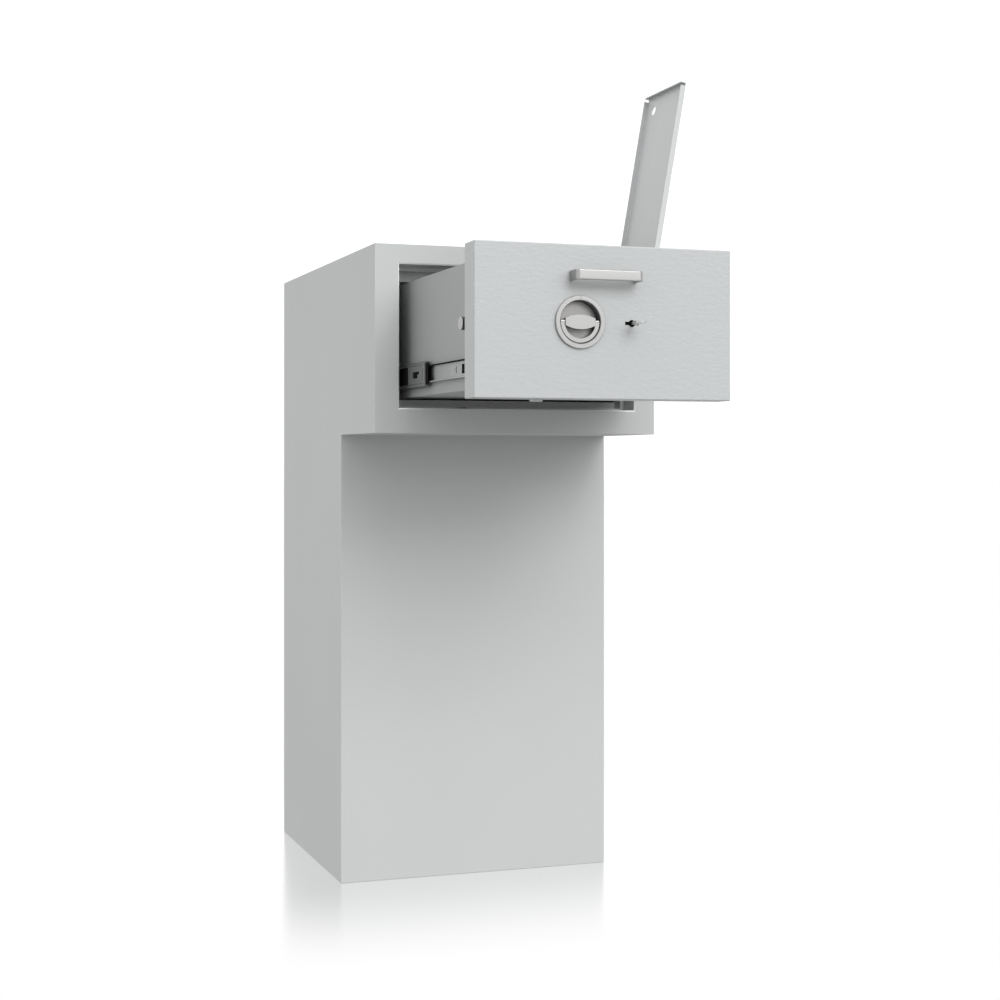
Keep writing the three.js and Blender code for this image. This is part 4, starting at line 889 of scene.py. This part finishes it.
BOLT_Y = 54
BOLT_Z = 107.5
BOLT_RADIUS = 9
BOLT_LENGTH = 57
BOLT_CHAMFER = 0.9
BOLT_PROUD = 2
GROOVES = ((1.6, 2.8), (3.8, 5.2))  # from the bolt's tip
GROOVE_RADIUS = 7.8
BAR_Y = (56.3, 60.3)
BAR_RISE = (6.6, 20)  # from the knob's axis, up on the right and down on the left
BAR_START = 47
TAIL_LENGTH = 18
CRANK = 9  # each pin's offset from the knob's axis, across and in height
PIN_CIRCLE = CRANK * math.sqrt(2)
FORK_HALF = 3.6
FORK_OVERRUN = 2
PRONG = 5


def build_side_bolt(name, side):
    """A round bolt with two grooves near its end, and the bar that ends in its fork."""
    tip = FRONT_HALF + BOLT_PROUD
    rim = BOLT_RADIUS - BOLT_CHAMFER
    shape = [(0, 0), (rim, 0), (BOLT_RADIUS, BOLT_CHAMFER)]
    for start, end in GROOVES:
        shape += [(BOLT_RADIUS, start), (GROOVE_RADIUS, start), (GROOVE_RADIUS, end), (BOLT_RADIUS, end)]
    shape += [(BOLT_RADIUS, BOLT_LENGTH - BOLT_CHAMFER), (rim, BOLT_LENGTH), (0, BOLT_LENGTH)]
    body = lathe("x", [(r, side * (tip - d)) for r, d in shape], (0, BOLT_Y, BOLT_Z))
    fork_x = KNOB[0] - side * CRANK
    near, far = [KNOB[2] + side * rise for rise in BAR_RISE]
    bar_z = sorted((near, far))
    inner = fork_x - side * (FORK_HALF + PRONG)
    outer = side * (tip - BAR_START)
    bar = block(sorted((inner, outer)), BAR_Y, bar_z)
    tail_z = (min(bar_z[0], BOLT_Z), max(bar_z[1], BOLT_Z))
    tail = block(sorted((outer - side * TAIL_LENGTH, outer)), BAR_Y, tail_z)
    ends = sorted((near - side * OVERRUN, KNOB[2] + side * (PIN_CIRCLE + FORK_HALF)))
    slot = block(around(fork_x, FORK_HALF), past(BAR_Y, FORK_OVERRUN), ends)
    skin = finish(cut(join(body, bar, tail), slot), f"{name}_pin", TRAY, [name], soft=0.2)
    axis = TRAY + Vector((0, BOLT_Y, BOLT_Z))

    # Painted shade: the grooves are near black, as the shade in them
    def is_in_groove(at):
        depth = tip - side * (at.x - axis.x)
        is_within = GROOVES[0][0] - TINT_MARGIN < depth < GROOVES[1][1] + TINT_MARGIN
        return is_within and (at - axis).yz.length < BOLT_RADIUS - SEAM

    tint(skin, "painted_shade_black", is_in_groove)


LOWER_X = -80.5
LOWER_LENGTH = 44
LOWER_BAR_Y = (65.3, 69.3)
LEVEL_HEIGHT = 16
FOOT_HEIGHT = 4


def build_lower_bolt():
    """A round bolt under the knob's left, with a stepped bar up to its fork."""
    tip = FRONT_Z[0] - BOLT_PROUD
    top = tip + LOWER_LENGTH
    body = rod("z", BOLT_RADIUS, (tip, top), (LOWER_X, BOLT_Y, 0), sides=96, chamfer=BOLT_CHAMFER)
    fork_x = (KNOB[0] + CRANK - FORK_HALF, KNOB[0] + PIN_CIRCLE + FORK_HALF)
    fork_z = KNOB[2] + CRANK
    bar_x = past(fork_x, PRONG)
    upright = block(bar_x, LOWER_BAR_Y, (top, fork_z + FORK_HALF + PRONG))
    level = block((LOWER_X - BOLT_RADIUS, bar_x[1]), LOWER_BAR_Y, (top, top + LEVEL_HEIGHT))
    foot = block(
        around(LOWER_X, BOLT_RADIUS), (BOLT_Y - BOLT_RADIUS, LOWER_BAR_Y[1]), (top, top + FOOT_HEIGHT)
    )
    slot = block(fork_x, past(LOWER_BAR_Y, FORK_OVERRUN), around(fork_z, FORK_HALF))
    bolt = cut(join(body, foot, level, upright), slot)
    finish(bolt, "bolt_bottom_pin", TRAY, ["bolt_bottom"], soft=0.2)


# The lid, drawn shut round its hinge and then turned open

LID_ANGLE = 99.9
LID_AXIS = Vector((90.8, 0, 190.8))
LID_LENGTH = 266.3
LID_ROOT = -4
LID_Y = (40.5, 166.5)
LID_SHEET = 1.5
LID_FLANGE = 8
LID_BEND = 2.4
LID_INNER_BEND = 1
SPARE = 20  # how far the drawn box reaches past the lines where it is trimmed
DRAWER_INSIDE = 170.5  # from the drawer's middle to the inner face of its side
RELIEF_WIDTH = 2.6
RELIEF_OVERRUN = 1
HOLE_RADIUS = 6.5
HOLE_PLACE = (22, 25)  # from the lid's end and from its rear edge
BARREL = 3.5
HINGE_BORE = 1.8
KNUCKLE = 16
KNUCKLE_START = 75.5
KNUCKLE_LEAF = 5


def build_lid():
    """A sheet with three bent flanges and two knuckles on its hinge's pin."""
    low = BARREL - LID_FLANGE
    under = BARREL - LID_SHEET
    far = LID_ROOT + 3 * SPARE
    deep = low - 3 * SPARE
    skin = block(
        (-LID_LENGTH, LID_ROOT + SPARE), LID_Y, (low - SPARE, BARREL), radius=LID_BEND, segments=5
    )
    inner = block(
        (-LID_LENGTH + LID_SHEET, LID_ROOT + 2 * SPARE),
        past(LID_Y, -LID_SHEET),
        (low - 2 * SPARE, under),
        radius=LID_INNER_BEND,
    )
    across = past(LID_Y, OVERRUN)
    behind = block((LID_ROOT, far), across, (deep, BARREL + OVERRUN))
    beneath = block((-LID_LENGTH - OVERRUN, far), across, (deep, low))

    # The side flanges stop short of the lid's end, where the drawer's side is when it is shut
    wall = -LID_AXIS.x - DRAWER_INSIDE + PLAY
    relief = [
        block((-LID_LENGTH + LID_SHEET, wall), span, (low - OVERRUN, under + MISS))
        for span in (
            (LID_Y[0] - RELIEF_OVERRUN, LID_Y[0] + RELIEF_WIDTH),
            (LID_Y[1] - RELIEF_WIDTH, LID_Y[1] + RELIEF_OVERRUN),
        )
    ]
    place = (-LID_LENGTH + HOLE_PLACE[0], LID_Y[1] - HOLE_PLACE[1], 0)
    hole = rod("z", HOLE_RADIUS, around(0, LID_FLANGE), place)
    pan = cut(skin, inner, behind, beneath, hole, *relief)
    parts = []
    for index in (1, 3):
        start = KNUCKLE_START + KNUCKLE * index
        span = past((start, start + KNUCKLE), -SEAM)
        parts.append(rod("y", BARREL, span, sides=48))
        parts.append(block((LID_ROOT - KNUCKLE_LEAF, MISS), span, (under + MISS, BARREL - MISS)))
    bore = rod("y", HINGE_BORE, across, sides=32)
    lid = cut(join(pan, *parts), bore)
    turn = Matrix.Translation(LID_AXIS) @ Matrix.Rotation(math.radians(LID_ANGLE), 4, "Y")
    finish(lid, "compartment_lid", TRAY, ["drawer_lid"], soft=0.3, material="lid_paint", turn=turn)


# The rear door's handle

HUB = [(0, 0), (22, 0), (24, 2), (24, 7), (21, 12), (0, 12)]
HANDLE_HALF = 48
HANDLE_END = 9
HANDLE_Y = (9, 27.7)


def build_door_handle():
    """A hub with an upright grip whose ends are round."""
    face = CASING_DEPTH + SEAM
    hub = lathe("y", [(r, face + d) for r, d in HUB])
    reach = HANDLE_HALF - HANDLE_END
    outline = arc((0, -reach), HANDLE_END, 180, 360, 16) + arc((0, reach), HANDLE_END, 0, 180, 16)
    grip = prism("y", outline, [face + place for place in HANDLE_Y])
    finish(join(hub, grip), "door_handle_grip", DOOR, ["door_handle"], soft=1.8, segments=4)


build_casing()
build_front()
build_pull()
build_ring()
build_knob()
build_bail()
build_key()
for name, side in (("left", -1), ("right", 1)):
    build_fixed_member(name, side)
    build_middle_member(name, side)
    build_drawer_member(name, side)
build_side_bolt("bolt_left", -1)
build_side_bolt("bolt_right", 1)
build_lower_bolt()
build_lid()
build_door_handle()

# Every other solid keeps its own form, with edges softened by this much
DRESSED = {
    "strike_frame": 0.6, "chamber_side_left": 0.3, "chamber_side_right": 0.3, "chamber_roof": 0.3,
    "chamber_floor": 0.4, "chamber_rear_wall": 0.3, "vault_side_left": 0.3, "vault_side_right": 0.3,
    "vault_front_wall": 0.3, "vault_floor": 0.3, "deposit_chute": 0.3, "flap_bracket": 0.2,
    "flap_pin": 0.1, "sweep_flap": 0.3, "door_frame": 0.5, "door_hinge_lower": 0.4,
    "door_hinge_upper": 0.4, "door_plate": 0.8, "door_box": 0.4, "door_lock_case": 0.5,
    "door_bolt_bar": 0.4, "door_spindle": 0.2, "front_back_plate": 0.3, "hard_plate": 0.3,
    "drawer_side_left": 0.3, "drawer_side_right": 0.3, "drawer_floor": 0.3, "bolt_cover_wall": 0.3,
    "tray_wall": 0.3, "lid_divider": 0.15, "lid_hinge_pin": 0.1, "knob_spindle": 0.2,
    "lock_case": 0.4, "lock_bolt": 0.3,
}
# Painted light: the strike frame, in the mouth's shade, gets a lighter paint
PAINTED = {"strike_frame": "strike_painted_light"}
UNMERGED = ["strike_frame"]
for node, width in DRESSED.items():
    dress(node, width, material=PAINTED.get(node), merge=node not in UNMERGED)
filling = frame["nodes"]["wall_filling"]
for holder in filling.material_slots:
    holder.material = MATERIALS["cast_filling"]


# The stage: a pale floor, a pale sky and soft lamps, in metres

FLOOR_HALF = 60
FLOOR_DROP = 0.0006

# The floor mirrors the base faintly, and less with the distance from it
FLOOR_GLOSS = 0.2
FOOTPRINT = (0.2275, 0.2115, 1)
MIRROR_REACH = 0.5
MIRROR_SHARE = 0.68

# Brightness of the sky by the sine of the height above the horizon
SKY_STRENGTH = 4
SKY = [(-0.06, 0.12), (-0.01, 0.28), (0.28, 0.3), (0.6, 0.36), (0.9, 0.36)]

# Name, place, target, size and power
LAMPS = [
    ("front_lamp", (1.5, -8.8, 5.7), (0, -0.5, 0.7), 4.8, 450),
    ("side_lamp", (6, -8, 4), (0, -0.5, 0.7), 4, 95),
]


def build_floor():
    bm = bmesh.new()
    bmesh.ops.create_grid(bm, x_segments=1, y_segments=1, size=FLOOR_HALF)
    floor = to_object(bm)
    floor.name = "floor"
    floor.location.z = -FLOOR_DROP
    paper = bpy.data.materials.new("floor_paper")
    paper.use_nodes = True
    tree = paper.node_tree
    link = tree.links.new
    tree.nodes.remove(tree.nodes["Principled BSDF"])
    glow = add_node(tree, "ShaderNodeEmission", {"Color": (1, 1, 1, 1), "Strength": 1})
    gloss = add_node(tree, "ShaderNodeBsdfGlossy", {"Color": (1, 1, 1, 1), "Roughness": FLOOR_GLOSS})
    blend = add_node(tree, "ShaderNodeMixShader")

    # How far a place on the floor is from the base
    place = add_node(tree, "ShaderNodeTexCoord")
    sizes = add_node(tree, "ShaderNodeVectorMath", operation="ABSOLUTE")
    link(place.outputs["Object"], sizes.inputs[0])
    beyond = add_node(tree, "ShaderNodeVectorMath", operation="SUBTRACT")
    link(sizes.outputs["Vector"], beyond.inputs[0])
    beyond.inputs[1].default_value = FOOTPRINT
    ahead = add_node(tree, "ShaderNodeVectorMath", operation="MAXIMUM")
    link(beyond.outputs["Vector"], ahead.inputs[0])
    distance = add_node(tree, "ShaderNodeVectorMath", operation="LENGTH")
    link(ahead.outputs["Vector"], distance.inputs[0])

    fade = add_node(
        tree,
        "ShaderNodeMapRange",
        {"From Min": 0, "From Max": MIRROR_REACH, "To Min": MIRROR_SHARE, "To Max": 0},
        interpolation_type="SMOOTHSTEP",
    )
    link(distance.outputs["Value"], fade.inputs["Value"])
    link(fade.outputs["Result"], blend.inputs["Fac"])
    link(glow.outputs["Emission"], blend.inputs[1])
    link(gloss.outputs["BSDF"], blend.inputs[2])
    link(blend.outputs["Shader"], tree.nodes["Material Output"].inputs["Surface"])
    floor.data.materials.append(paper)
    floor.visible_diffuse = False
    floor.visible_shadow = False


def build_sky():
    world = bpy.data.worlds.new("sky")
    bpy.context.scene.world = world
    world.use_nodes = True
    tree = world.node_tree
    link = tree.links.new
    background = tree.nodes["Background"]
    place = add_node(tree, "ShaderNodeTexCoord")
    split = add_node(tree, "ShaderNodeSeparateXYZ")
    link(place.outputs["Generated"], split.inputs["Vector"])
    level = add_node(tree, "ShaderNodeMapRange", {"From Min": -1, "From Max": 1})
    link(split.outputs["Z"], level.inputs["Value"])
    ramp = add_node(tree, "ShaderNodeValToRGB")
    link(level.outputs["Result"], ramp.inputs["Fac"])
    link(ramp.outputs["Color"], background.inputs["Color"])
    background.inputs["Strength"].default_value = SKY_STRENGTH
    stops = ramp.color_ramp.elements
    while len(stops) < len(SKY):
        stops.new(0.5)
    for stop, (height, shade) in zip(stops, SKY):
        stop.position = (height + 1) / 2
        stop.color = (shade, shade, shade, 1)


def build_lamps():
    for name, place, target, size, power in LAMPS:
        lamp = bpy.data.lights.new(name, "AREA")
        lamp.energy = power
        lamp.size = size
        holder = bpy.data.objects.new(name, lamp)
        bpy.context.scene.collection.objects.link(holder)
        holder.location = place
        aim = Vector(target) - Vector(place)
        holder.rotation_euler = aim.to_track_quat("-Z", "Y").to_euler()


def build_camera():
    lens = bpy.data.cameras.new("camera")
    lens.sensor_width = SENSOR
    lens.lens = FOCAL_PIXELS * SENSOR / IMAGE_WIDTH
    lens.shift_y = (HORIZON_ROW - IMAGE_WIDTH / 2) / IMAGE_WIDTH
    holder = bpy.data.objects.new("camera", lens)
    bpy.context.scene.collection.objects.link(holder)
    holder.location = CAMERA_PLACE
    holder.rotation_euler = (math.pi / 2, 0, -CAMERA_TURN)
    bpy.context.scene.camera = holder


build_floor()
build_sky()
build_lamps()
build_camera()
bpy.context.scene.view_settings.view_transform = "Standard"
